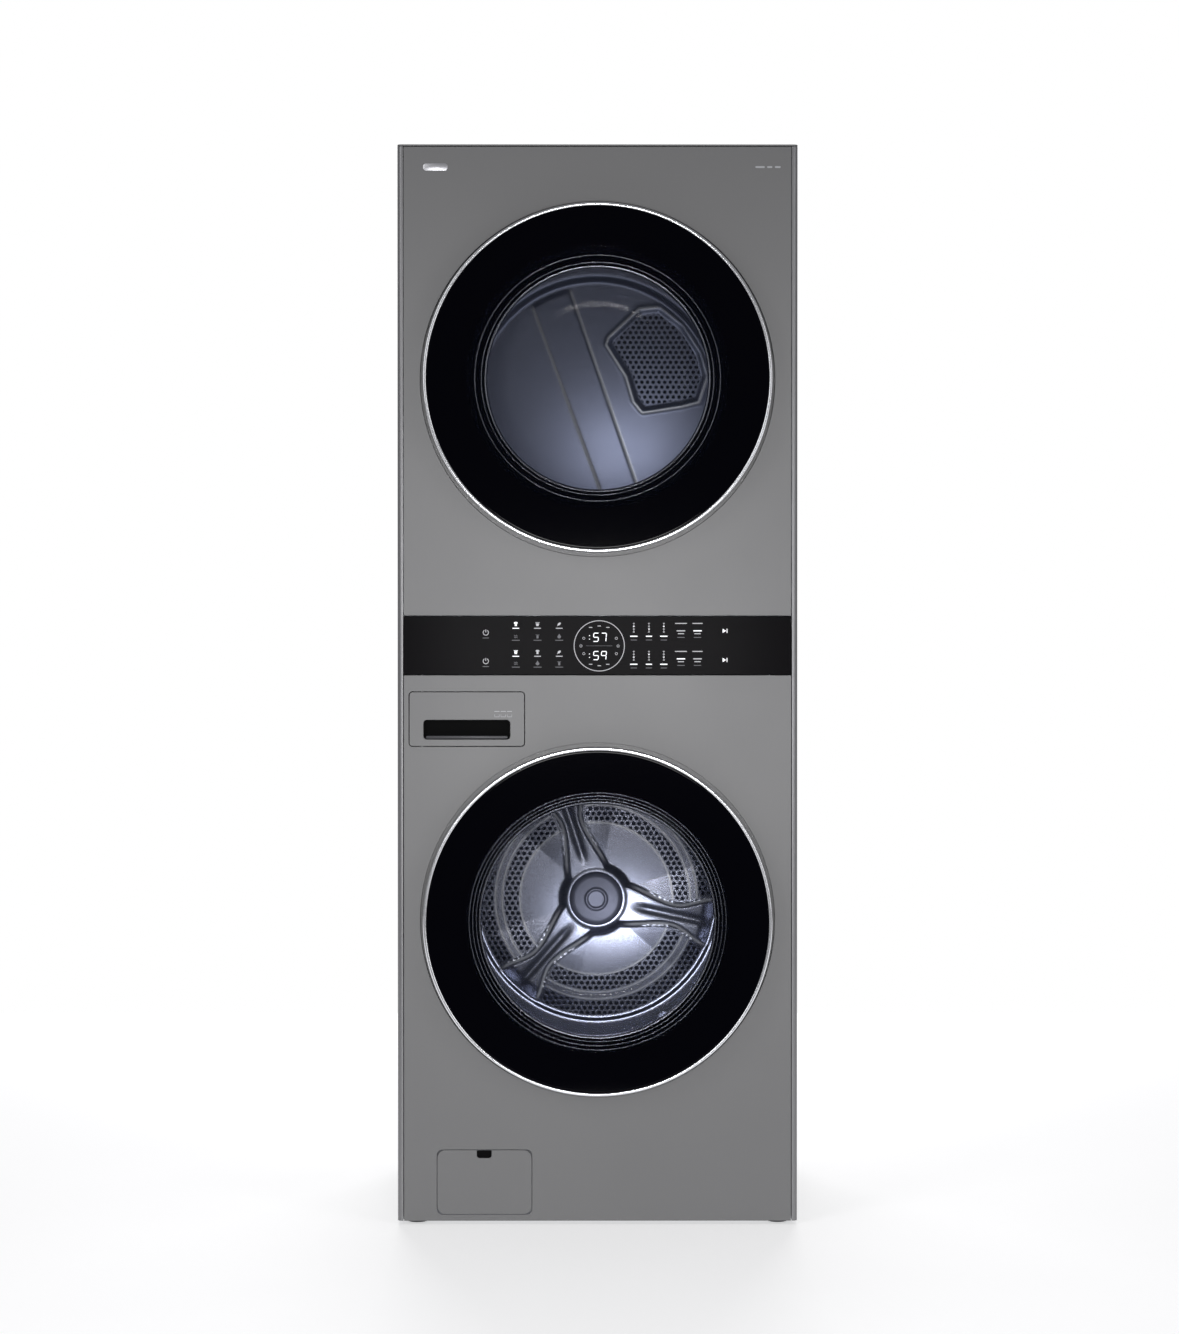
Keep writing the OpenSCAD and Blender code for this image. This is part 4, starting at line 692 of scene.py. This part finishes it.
def perforate(key, base, pitch, hole):
    """A material with holes where a piece's holes attribute is set, and painted highlights where its
    painted-highlight attribute is set: lighter, less metallic lines.
    """
    m = M[base].copy()
    m.name = key
    t = m.node_tree
    p = t.nodes["Principled BSDF"]
    uv = t.nodes.new("ShaderNodeUVMap")
    uv.uv_map = "sheet"
    v = t.nodes.new("ShaderNodeSeparateXYZ")
    t.links.new(uv.outputs[0], v.inputs[0])
    near = []
    for k in (0.0, 0.5):
        fx = maths(t, "FRACT", maths(t, "ADD", maths(t, "DIVIDE", v.outputs[0], pitch), k))
        fx = maths(t, "SUBTRACT", fx, 0.5)
        fy = maths(t, "FRACT", maths(t, "ADD", maths(t, "DIVIDE", v.outputs[1], pitch * ROOT_3), k))
        fy = maths(t, "MULTIPLY", maths(t, "SUBTRACT", fy, 0.5), ROOT_3)
        squares = maths(t, "ADD", maths(t, "MULTIPLY", fx, fx), maths(t, "MULTIPLY", fy, fy))
        near.append(maths(t, "SQRT", squares))
    edge = t.nodes.new("ShaderNodeMapRange")
    edge.interpolation_type = "SMOOTHSTEP"
    edge.inputs["From Min"].default_value = hole / pitch * 0.85
    edge.inputs["From Max"].default_value = hole / pitch * 1.15
    t.links.new(maths(t, "MINIMUM", near[0], near[1]), edge.inputs["Value"])
    mask = t.nodes.new("ShaderNodeAttribute")
    mask.attribute_name = "holes"
    solid = maths(t, "SUBTRACT", 1.0, maths(t, "GREATER_THAN", mask.outputs["Fac"], 0.5))
    keep = maths(t, "MAXIMUM", edge.outputs["Result"], solid)
    old = p.inputs["Base Color"].links[0].from_socket
    mix = t.nodes.new("ShaderNodeMix")
    mix.data_type = "RGBA"
    t.links.new(keep, mix.inputs["Factor"])
    mix.inputs["A"].default_value = srgb(22, 24, 32)
    t.links.new(old, mix.inputs["B"])
    # Painted highlight: the base colour is mixed towards near-white and the metal turned down along the
    # pressed edges, standing in for light caught there
    painted_highlight_node = t.nodes.new("ShaderNodeAttribute")
    painted_highlight_node.attribute_name = "polish"
    bright = t.nodes.new("ShaderNodeMix")
    bright.data_type = "RGBA"
    t.links.new(painted_highlight_node.outputs["Fac"], bright.inputs["Factor"])
    t.links.new(mix.outputs["Result"], bright.inputs["A"])
    bright.inputs["B"].default_value = srgb(250, 251, 255)
    t.links.new(bright.outputs["Result"], p.inputs["Base Color"])
    metal = p.inputs["Metallic"].default_value
    dull = maths(t, "SUBTRACT", 1.0, painted_highlight_node.outputs["Fac"])
    t.links.new(maths(t, "MULTIPLY", dull, metal), p.inputs["Metallic"])
    b = t.nodes.new("ShaderNodeBump")
    b.inputs["Strength"].default_value, b.inputs["Distance"].default_value = 0.8, 0.0006
    t.links.new(keep, b.inputs["Height"])
    t.links.new(b.outputs["Normal"], p.inputs["Normal"])
    M[key] = m


M["dryer_steel"] = material("dryer_steel", srgb(120, 124, 142), srgb(108, 112, 130), 0.38, 0.04, 0.8,
                            700, (1, 1, 1), 3.0, 0.05)
perforate("inlet_sheet", "dryer_steel", 11 * MM, 3.4 * MM)
perforate("wall_sheet", "drum_steel", HOLE_GAP, 2.6 * MM)
perforate("star_sheet", "drum_steel", 11 * MM, 3.6 * MM)

collar = DRUM_R - 9 * MM
# The rear wall's band sides and inlet lip carry painted highlights
rear_wall = pressed_disc(
    "dryer_rear_wall", DRYER.z, collar - 4 * MM, REAR_Y - 14 * MM, 6 * MM, dryer_rear_height, "cabinet",
    mask=lambda x, z: (polygon_distance(x, z, INLET) > 10 * MM).astype(float), polish=dryer_painted_highlights,
    slot="galvanised_steel", sharp=60)
paint(rear_wall, "inlet_sheet")


# ---- Washer drum and gasket ----

STAR = np.radians([-12.0, 108.0, 228.0])
BACK_Y = WDRUM_HI.y - 1.5 * MM


def arm_half(along):
    """Half an arm's width: it narrows to its middle and widens again at its end."""
    return 46 * MM - 20 * MM * smooth(along, 40 * MM, 150 * MM) + 26 * MM * smooth(along, 150 * MM, 228 * MM)


def star_height(x, z):
    """The drum's back pressing: three raised arms, a dished field, a boss and two stepped rims."""
    r = np.hypot(x, z)
    height = 16 * MM * smooth(r, 262 * MM, 284 * MM)
    height = height + 5 * MM * smooth(r, 226 * MM, 236 * MM)
    arms = np.zeros_like(r)
    for a in STAR:
        along = x * math.cos(a) + z * math.sin(a)
        across = np.abs(-x * math.sin(a) + z * math.cos(a))
        half = arm_half(along)
        ridge = (1 - smooth(across, half - 14 * MM, half)) * smooth(along, 10 * MM, 40 * MM)
        fold = 2.5 * MM * np.exp(-(across / (8 * MM)) ** 2) * smooth(along, 60 * MM, 100 * MM)
        arms = np.maximum(arms, ridge * (6 * MM - fold) * (1 - smooth(along, 200 * MM, 232 * MM)))
    field = 3 * MM * np.cos(3 * np.arctan2(z, x) + 0.6)
    field = field * smooth(r, 60 * MM, 120 * MM) * (1 - smooth(r, 190 * MM, 230 * MM))
    boss = 7 * MM * (1 - smooth(r, 54 * MM, 72 * MM))
    return np.maximum(height + field * (arms < 1 * MM), 0) + np.maximum(arms, boss)


def arm_place(x, z):
    """How far along the nearest arm a point is, and how far outside its edge."""
    along, outside = np.zeros_like(x), np.full(x.shape, 1.0)
    for a in STAR:
        u, v = x * math.cos(a) + z * math.sin(a), np.abs(-x * math.sin(a) + z * math.cos(a))
        edge = v - arm_half(u)
        nearer = (u > 0) & (edge < outside)
        along, outside = np.where(nearer, u, along), np.where(nearer, edge, outside)
    return along, outside


def star_holes(x, z):
    """Two perforated rings on the back, left plain under the arms."""
    r = np.hypot(x, z)
    rings = ((r > 148 * MM) & (r < 176 * MM)) | ((r > 196 * MM) & (r < 222 * MM))
    return (rings & (arm_place(x, z)[1] > 4 * MM)).astype(float)


def star_painted_highlights(x, z):
    """Painted highlights on the pressed edges of the arms and rings: how much lighter they are painted,
    standing in for light caught there.
    """
    along, outside = arm_place(x, z)
    r = np.hypot(x, z)
    arms = np.exp(-((outside + 7 * MM) / (3 * MM)) ** 2) * smooth(along, 50 * MM, 80 * MM)
    clear = smooth(outside, -2 * MM, 4 * MM)
    rings = sum(np.exp(-((r - k * MM) / (1.6 * MM)) ** 2) for k in (145, 179, 192)) * clear
    return np.clip((arms * 0.9 + rings * 0.7) * (1 - smooth(r, 214 * MM, 230 * MM)), 0, 1)


# The drum back's pressed arm and ring edges carry painted highlights
drum_back = pressed_disc(
    "washer_drum_back", WASH_Z, WDRUM_R - 2.2 * MM, BACK_Y - 4 * MM, 2 * MM, star_height, "washer_drum",
    mask=star_holes, polish=star_painted_highlights, slot="drum_steel", sharp=60)
paint(drum_back, "star_sheet")


PILLOW = 58 * MM


def wall_liner(name, r0, y0, y1, cz, body, pillows, key, slot):
    """A drum's inner wall: shallow pillows round it and along it, with holes in bands between them."""
    turns, rows = 720, 130
    a = np.linspace(0, TAU, turns, endpoint=False)
    y = np.linspace(y0, y1, rows)
    y, a = np.meshgrid(y, a, indexing="ij")
    edge = smooth(y, y0, y0 + 20 * MM) * (1 - smooth(y, y1 - 20 * MM, y1))
    r = r0 - 0.8 * MM - 1.8 * MM * edge * (0.5 - 0.5 * np.cos(pillows * a) * np.cos(TAU * (y - y0) / PILLOW))
    inner = np.stack([r * np.cos(a), y, cz + r * np.sin(a)], -1)
    outer = np.stack([r0 * np.cos(a[::-1]), y[::-1], cz + r0 * np.sin(a[::-1])], -1)
    piece = finish_mesh(name, np.concatenate([inner, outer]).reshape(-1, 3),
                        grid_faces(2 * rows, turns, True, True), body, slot=slot, sharp=50)
    round_it = round(TAU * r0 / HOLE_GAP)
    sheet_map(piece, lambda p: (np.arctan2(p[:, 2] - cz, p[:, 0]) * round_it * HOLE_GAP / TAU, p[:, 1]))
    vertex_values(piece, "holes", lambda p: (np.cos(TAU * (p[:, 1] - y0) / PILLOW) > 0.1).astype(float))
    return paint(piece, key)


wall_liner("washer_drum_wall", WDRUM_R - 1.7 * MM, WDRUM_LO.y + 12 * MM, BACK_Y - 6 * MM, WASH_Z,
           "washer_drum", 24, "wall_sheet", "drum_steel")
refined("washer_lifters", "washer_drum", "drum_steel", bevel=7, segments=4, angle=20)

# Hub cap: a domed cap with an inner ring
cap = rounded([(0, BACK_Y - 25 * MM), (15 * MM, BACK_Y - 25 * MM), (17 * MM, BACK_Y - 27.5 * MM),
               (20 * MM, BACK_Y - 27.5 * MM), (22 * MM, BACK_Y - 25 * MM), (45 * MM, BACK_Y - 24 * MM),
               (51 * MM, BACK_Y - 16 * MM), (51 * MM, BACK_Y - 4 * MM), (0, BACK_Y - 4 * MM)],
              [0, 1 * MM, 1.4 * MM, 1.4 * MM, 2 * MM, 5 * MM, 4 * MM, 0.5 * MM, 0], 5)
paint(lathe("drum_hub_cap", cap, WASH_Z, "washer_drum", turns=160, slot="chrome_trim", replaces=["hub_cap"]),
      "hub")


def stretched(piece):
    """Takes a piece off its one body and bakes its placement into its mesh."""
    del piece["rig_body"]
    piece.parent = None
    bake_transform(piece)
    return piece


# Gasket: a lip on the front panel's collar, two soft folds and a neck that follows the tub
G_LO, G_HI = (Vector(c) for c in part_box("door_gasket"))
G_Z, G_R = (G_LO.z + G_HI.z) / 2, (G_HI.z - G_LO.z) / 2
y0, y1 = G_LO.y, G_HI.y
fold = rounded([(G_R - 28 * MM, y0 + 3 * MM), (G_R - 12 * MM, y0 + 0.5 * MM), (G_R - 9 * MM, y0 + 3 * MM),
                (G_R - 9 * MM, y0 + 14 * MM), (G_R - 1 * MM, y0 + 20 * MM), (G_R - 1 * MM, y0 + 27 * MM),
                (G_R - 14 * MM, y0 + 33 * MM), (G_R - 3 * MM, y0 + 40 * MM), (G_R - 3 * MM, y1 - 2 * MM),
                (G_R - 9 * MM, y1 - 2 * MM), (G_R - 9 * MM, y0 + 42 * MM), (G_R - 19 * MM, y0 + 34 * MM),
                (G_R - 5 * MM, y0 + 26 * MM), (G_R - 5 * MM, y0 + 22 * MM), (G_R - 13 * MM, y0 + 16 * MM),
                (G_R - 13 * MM, y0 + 7 * MM), (G_R - 27 * MM, y0 + 7 * MM)], 3 * MM, 5)
gasket = lathe("door_seal", fold, G_Z, "cabinet", turns=240, slot="rubber", replaces=["door_gasket"])
stretched(paint(gasket, "gasket"))


def coil_tube(name, x, y, z0, z1, radius, wire, turns, body):
    """A wire of round section along a helix whose ends lie flat, closed at both tips."""
    n, m = int(turns * 40), 14
    t = np.linspace(0, 1, n + 1)
    rise = z0 + wire + (z1 - z0 - 2 * wire) * flat_ended_ramp(t)
    a = TAU * turns * t
    b = np.linspace(0, TAU, m, endpoint=False)
    scale = np.where((t < 1e-9) | (t > 1 - 1e-9), 0.0, 1.0)[:, None]
    out = (radius + wire * np.cos(b)[None, :] * scale)
    v = np.stack([x + out * np.cos(a)[:, None], y + out * np.sin(a)[:, None],
                  rise[:, None] + wire * np.sin(b)[None, :] * scale], -1)
    faces = grid_faces(n + 1, m, False, True)
    return finish_mesh(name, v.reshape(-1, 3), faces, body, slot="steel_parts", sharp=60)


def flat_ended_ramp(t):
    """Rises straight in the middle and lies level over the first and last tenth."""
    return np.clip((t - 0.1) / 0.8, 0, 1)


S_LO, S_HI = (Vector(c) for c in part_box("suspension_springs"))
S_Y = (S_LO.y + S_HI.y) / 2
for side, x in (("left", S_LO.x + 14 * MM), ("right", S_HI.x - 14 * MM)):
    spring = coil_tube("suspension_spring_" + side, x, S_Y, S_LO.z, S_HI.z, 12 * MM, 1.95 * MM, 10, "cabinet")
    paint(spring, "part_steel")
    if side == "left":
        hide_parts("suspension_springs")
    stretched(spring)


def hose(name, x, y, z0, z1, r):
    """A rubber hose along Z with a plain cuff at each end and folds between, taken off its body."""
    rows, turns, wall, folds = 150, 72, 4 * MM, round((z1 - z0) / (9 * MM))
    t = np.linspace(0, 1, rows)
    waist = smooth(t, 0.16, 0.2) * (1 - smooth(t, 0.8, 0.84))
    wave = waist * (0.5 - 0.5 * np.cos(TAU * folds * t)) * 2.6 * MM
    outer = np.stack([r - 0.2 * MM - wave, z0 + (z1 - z0) * t], 1)
    profile = np.concatenate([outer, outer[::-1] - [wall, 0]])
    a = np.linspace(0, TAU, turns, endpoint=False)
    v = np.stack([x + profile[:, 0:1] * np.cos(a), y + profile[:, 0:1] * np.sin(a),
                  np.broadcast_to(profile[:, 1:2], (len(profile), turns))], -1)
    piece = paint(finish_mesh(name, v.reshape(-1, 3), grid_faces(len(profile), turns, True, True), "cabinet",
                              slot="rubber", sharp=50), "rubber")
    return stretched(piece)


H_LO, H_HI = (Vector(c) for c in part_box("tub_hoses"))
HOSE_R = 20 * MM
FILL_LENGTH = 89.7 * MM
SUMP_LENGTH = 121.5 * MM
fill = hose("fill_hose", H_LO.x + HOSE_R, H_HI.y - HOSE_R, H_HI.z - FILL_LENGTH, H_HI.z, HOSE_R)
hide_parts("tub_hoses")
hose("sump_hose", H_HI.x - HOSE_R, H_LO.y + HOSE_R, H_LO.z, H_LO.z + SUMP_LENGTH, HOSE_R)




# ---- Control panel ----

PROUD = 0.12 * MM


def mark(outline):
    """A flat printed mark on the control panel: vertices and faces."""
    return outline_prism(np.asarray(outline) * MM, FRONT - PROUD, FRONT + PROUD)


def dash(x, z, w, h=1.1):
    """A short bar centred at x, z."""
    return mark(rect(x - w / 2, x + w / 2, z - h / 2, z + h / 2, h * 0.45, 3))


def stroke(points, width=0.9):
    """A line of even width."""
    return mark(band_outline(points, width))


def ring(x, z, r, width=0.9, gap=0.0):
    """A ring in two halves, with a gap at the top if one is given."""
    return [stroke(arc_path(x, z, r, 90 + gap, 270.3, 40), width),
            stroke(arc_path(x, z, r, 269.7, 450 - gap, 40), width)]


def power_sign(x, z, r):
    """A broken ring with a bar in its gap."""
    return ring(x, z, r, 1.1, 32) + [stroke([(x, z + r * 0.1), (x, z + r * 1.15)], 1.1)]


SEGMENTS = {"5": "afgcd", "7": "abc", "9": "abcfg"}


def digit(char, x, z, w, h, t=1.5, lean=0.08):
    """One seven-segment number: a top, b and c right, d foot, f upper left, g middle."""
    ends = {"a": ((0, h), (w, h)), "b": ((w, h), (w, h / 2)), "c": ((w, h / 2), (w, 0)),
            "d": ((0, 0), (w, 0)), "f": ((0, h / 2), (0, h)), "g": ((0, h / 2), (w, h / 2))}
    parts = []
    for key in SEGMENTS[char]:
        a, b = (np.array(q, float) for q in ends[key])
        d = (b - a) / np.linalg.norm(b - a)
        a, b = a + d * t * 0.6, b - d * t * 0.6
        n = np.array([-d[1], d[0]]) * t / 2
        shape = np.array([a - d * t / 2, a - n, b - n, b + d * t / 2, b + n, a + n])
        shape[:, 0] += lean * shape[:, 1] + x
        shape[:, 1] += z
        parts.append(mark(shape))
    return parts


def drop(x, z, s):
    """A water drop."""
    a = np.linspace(0, TAU, 40, endpoint=False)
    q = s * (1 - 0.35 * np.maximum(np.sin(a), 0))
    return [mark(np.stack([x + q * np.cos(a) * (1 - 0.5 * np.maximum(np.sin(a), 0)),
                           z + s * np.sin(a) * (1 + 0.5 * np.maximum(np.sin(a), 0))], 1))]


def shirt(x, z, s):
    """A plain shirt."""
    return [mark([(x - s, z + s * 0.5), (x - s * 0.45, z + s), (x + s * 0.45, z + s), (x + s, z + s * 0.5),
                  (x + s * 0.72, z + s * 0.15), (x + s * 0.5, z + s * 0.3), (x + s * 0.5, z - s),
                  (x - s * 0.5, z - s), (x - s * 0.5, z + s * 0.3), (x - s * 0.72, z + s * 0.15)][::-1])]


def waves(x, z, s):
    """Two wavy lines."""
    t = np.linspace(-1, 1, 21)
    return [stroke(np.stack([x + s * t, z + k * s * 0.45 + 0.3 * s * np.sin(t * 5)], 1), 0.8)
            for k in (-1, 1)]


def basket(x, z, s):
    """A tub seen from the side."""
    return [stroke([(x - s, z + s * 0.7), (x + s, z + s * 0.7)], 0.9),
            mark([(x - s * 0.8, z + s * 0.3), (x + s * 0.8, z + s * 0.3), (x + s * 0.55, z - s),
                  (x - s * 0.55, z - s)][::-1])]


def hanger(x, z, s):
    """A towel on a rail."""
    return [stroke([(x - s, z + s * 0.9), (x + s, z + s * 0.9)], 0.8),
            mark(rect(x - s * 0.55, x + s * 0.55, z - s, z + s * 0.65, 0.6, 3))]


def leaf(x, z, s):
    """A leaf with a stem."""
    a = np.linspace(0, math.pi, 16)
    up = np.stack([s * 0.9 * np.cos(a), s * 0.55 * np.sin(a)], 1)
    shape = np.concatenate([up, -up])
    turn = math.radians(40)
    c, q = math.cos(turn), math.sin(turn)
    shape = np.stack([x + shape[:, 0] * c - shape[:, 1] * q, z + shape[:, 0] * q + shape[:, 1] * c], 1)
    return [mark(shape), stroke([(x - s * 0.6, z - s * 0.5), (x - s, z - s)], 0.8)]


PANEL_SIGNS = (((shirt, basket, leaf), (waves, hanger, drop)), ((basket, shirt, leaf), (waves, drop, hanger)))


def panel_marks():
    """Every mark on the panel, sorted by how brightly it is lit."""
    bright, plain, dim, digits = [], [], [], []
    for row, (z_top, z_low, z_power, z_play) in enumerate(((1050, 1029, 1037, 1040), (1001, 982, 987, 989))):
        plain += power_sign(-195.5, z_power, 4.6)
        dim.append(dash(-195.5, z_power - 9.5, 11))
        signs = PANEL_SIGNS[row]
        for k, x in enumerate((-143, -105, -67)):
            first = bright if k == 0 else plain
            first += signs[0][k](x, z_top + 2, 3.6)
            first.append(dash(x, z_top - 5.5, 12, 1.5))
            dim += signs[1][k](x, z_low + 1, 3.2)
            dim.append(dash(x, z_low - 5.5, 14, 1.2))
        top = z_top + 4
        for k, x in enumerate((63.5, 90, 116)):
            plain.append(stroke([(x, top), (x, top - 17)], 0.6))
            for j in range(4):
                (bright if j == 1 + (k + row) % 2 else plain).append(dash(x, top - 1 - j * 5, 3.2, 1.2))
            bright.append(dash(x, top - 23.5, 13 - 2 * (k == 1), 1.9))
            dim.append(dash(x, top - 30, 11, 1.1))
        for k, x in enumerate((146, 175)):
            plain.append(dash(x, top - 1, 21 - 3 * k, 1.5))
            (bright if (k + row) % 2 else plain).append(dash(x, top - 14, 15, 1.9))
            plain.append(dash(x, top - 19, 11, 1.5))
            dim.append(dash(x, top - 25.5, 13, 1.1))
        bright += [mark([(219, z_play - 3.6), (219, z_play + 3.6), (225, z_play)]),
                   stroke([(226.6, z_play - 3.6), (226.6, z_play + 3.6)], 1.2)]
    plain += ring(3, 1013.7, 44, 1.2)
    for number, z in (("57", 1021.5), ("59", 989.5)):
        for k, char in enumerate(number):
            digits += digit(char, -7.5 + k * 13.5, z, 8.5, 14.5)
        digits += [mark(disc_outline(-14, z + 7 + s * 3, 0.8, 16)) for s in (-1, 1)]
    for x, z in ((-24, 1027), (-24, 1000), (33, 1027), (33, 1000), (-29, 1013.5), (36, 1013.5)):
        plain += ring(x, z, 2.0, 0.7)
    for x, z in ((-12, 1046), (3, 1048.5), (18, 1046), (-12, 981.5), (3, 979), (18, 981.5)):
        plain.append(dash(x, z, 6, 1.3))
    dim.append(dash(3, 1013.7, 46, 0.5))
    return bright, plain, dim, digits


PANEL_PIECES = (("panel_marks_bright", "ink_bright"), ("panel_marks", "ink"), ("panel_marks_dim", "ink_dim"),
                ("panel_digits", "digits"))
for (name, key), parts in zip(PANEL_PIECES, panel_marks()):
    paint(joined(name, parts, "cabinet", slot="black_glass", smooth=False), key)


# ---- Drawer recess, nameplate, finger notch ----

def tube_prism(outer, inner, y0, y1):
    """A straight tube between two outlines with the same number of points: vertices and faces."""
    n = len(outer)
    loops = ((outer, y0), (outer, y1), (inner, y1), (inner, y0))
    v = [np.stack([o[:, 0], np.full(n, y), o[:, 1]], 1) for o, y in loops]
    return np.concatenate(v), grid_faces(4, n, True, True)


D_LO, D_HI = (Vector(c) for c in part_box("detergent_drawer"))
RX0, RX1 = D_LO.x + 25 * MM, D_HI.x - 25 * MM
RZ0 = D_LO.z + 12 * MM
RZ1 = RZ0 + 34 * MM
SKIN = 0.6 * MM
edge_out = rect(RX0, RX1, RZ0, RZ1, 6 * MM, 8)
edge_in = rect(RX0 + SKIN, RX1 - SKIN, RZ0 + SKIN, RZ1 - SKIN, 5.6 * MM, 8)
# The pocket's liner is painted near-black: painted shade
liner = [tube_prism(edge_out, edge_in, FRONT + 1.2 * MM, FRONT + 14.6 * MM),
         outline_prism(edge_out, FRONT + 14.2 * MM, FRONT + 14.9 * MM)]
paint(joined("drawer_recess_liner", liner, "detergent_drawer", slot="black_plastic", smooth=False), "recess")
lip_edge = rect(RX0 + 4 * MM, RX1 - 4 * MM, RZ0 + 0.7 * MM, RZ0 + 6.4 * MM, 2.6 * MM, 6)
lip = outline_prism(lip_edge, FRONT + 0.8 * MM, FRONT + 10 * MM, 1.2 * MM, 3)
paint(finish_mesh("drawer_grip_lip", *lip, "detergent_drawer", slot="graphite_steel"), "lip")
CUP_X = (-176, -165, -154)
lines = [dash(x, 899, 9, 1.1) for x in CUP_X]
lines += [stroke([(x - 4, 893.5), (x - 4, 889.5), (x + 4, 889.5), (x + 4, 893.5)], 0.7) for x in CUP_X]
paint(joined("drawer_cup_marks", lines, "detergent_drawer", slot="graphite_steel", smooth=False), "grey_mark")

plate = outline_prism(rect(-305 * MM, -262 * MM, 1844 * MM, 1857 * MM, 6.4 * MM, 10), FRONT - 0.5 * MM,
                      FRONT + 0.1 * MM, 0.25 * MM, 2)
paint(finish_mesh("nameplate", *plate, "cabinet", slot="graphite_steel"), "nameplate")
bar = [dash(x, 1850.5, w, 3.2) for x, w in ((284, 16), (301, 9), (315, 10))]
paint(joined("corner_mark", bar, "cabinet", slot="graphite_steel", smooth=False), "grey_mark")
F_LO, F_HI = (Vector(c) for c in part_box("filter_door"))
# A near-black sheet at the pocket's floor: painted shade
pocket = outline_prism(rect(F_LO.x + 68 * MM, F_LO.x + 96 * MM, F_HI.z - 16 * MM, F_HI.z - 1 * MM, 4 * MM, 5),
                       FRONT + 3.2 * MM, FRONT + 3.9 * MM)
paint(finish_mesh("filter_door_finger_pocket", *pocket, "filter_door", slot="dark_plastic"), "recess")


# ---- Floor, light and camera ----

def stage_plane(name, x0, x1, y0, y1, key):
    """The floor, seen edge on from the camera's height."""
    mesh = bpy.data.meshes.new(name)
    mesh.from_pydata([(x0, y0, 0), (x1, y0, 0), (x1, y1, 0), (x0, y1, 0)], [], [(0, 1, 2, 3)])
    piece = bpy.data.objects.new(name, mesh)
    bpy.context.scene.collection.objects.link(piece)
    return paint(piece, key)


M["floor"] = material("floor", srgb(246, 246, 247), srgb(243, 243, 245), 0.6, 0.02, 0.0, 40, bump=0.0,
                      Emission_Color=srgb(255, 255, 255), Emission_Strength=0.5)
stage_plane("floor", -9, 9, -2.2, 3.0, "floor")


def area_light(name, place, aim, wide, tall, watts, colour=(1, 1, 1)):
    """A soft rectangular light at a place, turned to a point."""
    lamp = bpy.data.lights.new(name, "AREA")
    lamp.shape, lamp.size, lamp.size_y = "RECTANGLE", wide, tall
    lamp.energy, lamp.color = watts, colour
    piece = bpy.data.objects.new(name, lamp)
    piece.location = place
    piece.rotation_euler = (Vector(aim) - Vector(place)).to_track_quat("-Z", "Y").to_euler()
    bpy.context.scene.collection.objects.link(piece)
    return piece


area_light("key", (-2.6, -4.2, 2.6), (0, -0.3, 1.0), 1.6, 2.6, 30)
area_light("fill", (3.0, -4.0, 1.6), (0, -0.3, 1.0), 1.6, 2.6, 26)
area_light("front", (0, -5.4, 1.0), (0, -0.3, 1.0), 1.0, 0.5, 52)
area_light("behind", (0, 4.5, 2.8), (0, 0.3, 1.0), 3.0, 1.6, 80)
# Small lamps inside both drums, turned away from the doors
for name, place, aim, watts, spread in (
        ("dryer_lamp", (0.06, -0.235, DRYER.z - 0.07), (0.06, 0.27, DRYER.z - 0.09), 0.3, 110),
        ("washer_lamp", (0.03, -0.19, WASH_Z - 0.06), (0.03, 0.21, WASH_Z - 0.08), 0.34, 100)):
    area_light(name, place, aim, 0.14, 0.06, watts, (0.88, 0.92, 1)).data.spread = math.radians(spread)

world = bpy.data.worlds.new("studio")
bpy.context.scene.world = world
world.use_nodes = True
wt = world.node_tree
wt.nodes.clear()
path = wt.nodes.new("ShaderNodeLightPath")
seen, soft = wt.nodes.new("ShaderNodeBackground"), wt.nodes.new("ShaderNodeBackground")
seen.inputs[0].default_value, seen.inputs[1].default_value = (1, 1, 1, 1), 1.0
soft.inputs[0].default_value, soft.inputs[1].default_value = srgb(250, 250, 252), 0.27
mixed, world_out = wt.nodes.new("ShaderNodeMixShader"), wt.nodes.new("ShaderNodeOutputWorld")
wt.links.new(path.outputs["Is Camera Ray"], mixed.inputs[0])
wt.links.new(soft.outputs[0], mixed.inputs[1])
wt.links.new(seen.outputs[0], mixed.inputs[2])
wt.links.new(mixed.outputs[0], world_out.inputs["Surface"])

lens = bpy.data.cameras.new("front_view")
lens.lens, lens.sensor_width, lens.sensor_fit = 92.53, 36.0, "AUTO"
view = bpy.data.objects.new("front_view", lens)
view.location = (-0.0287, -6.335, 1.0364)
view.rotation_euler = (math.radians(90 - 0.57), 0, math.radians(-0.14))
bpy.context.scene.collection.objects.link(view)
bpy.context.scene.camera = view
bpy.context.scene.view_settings.view_transform = "Standard"
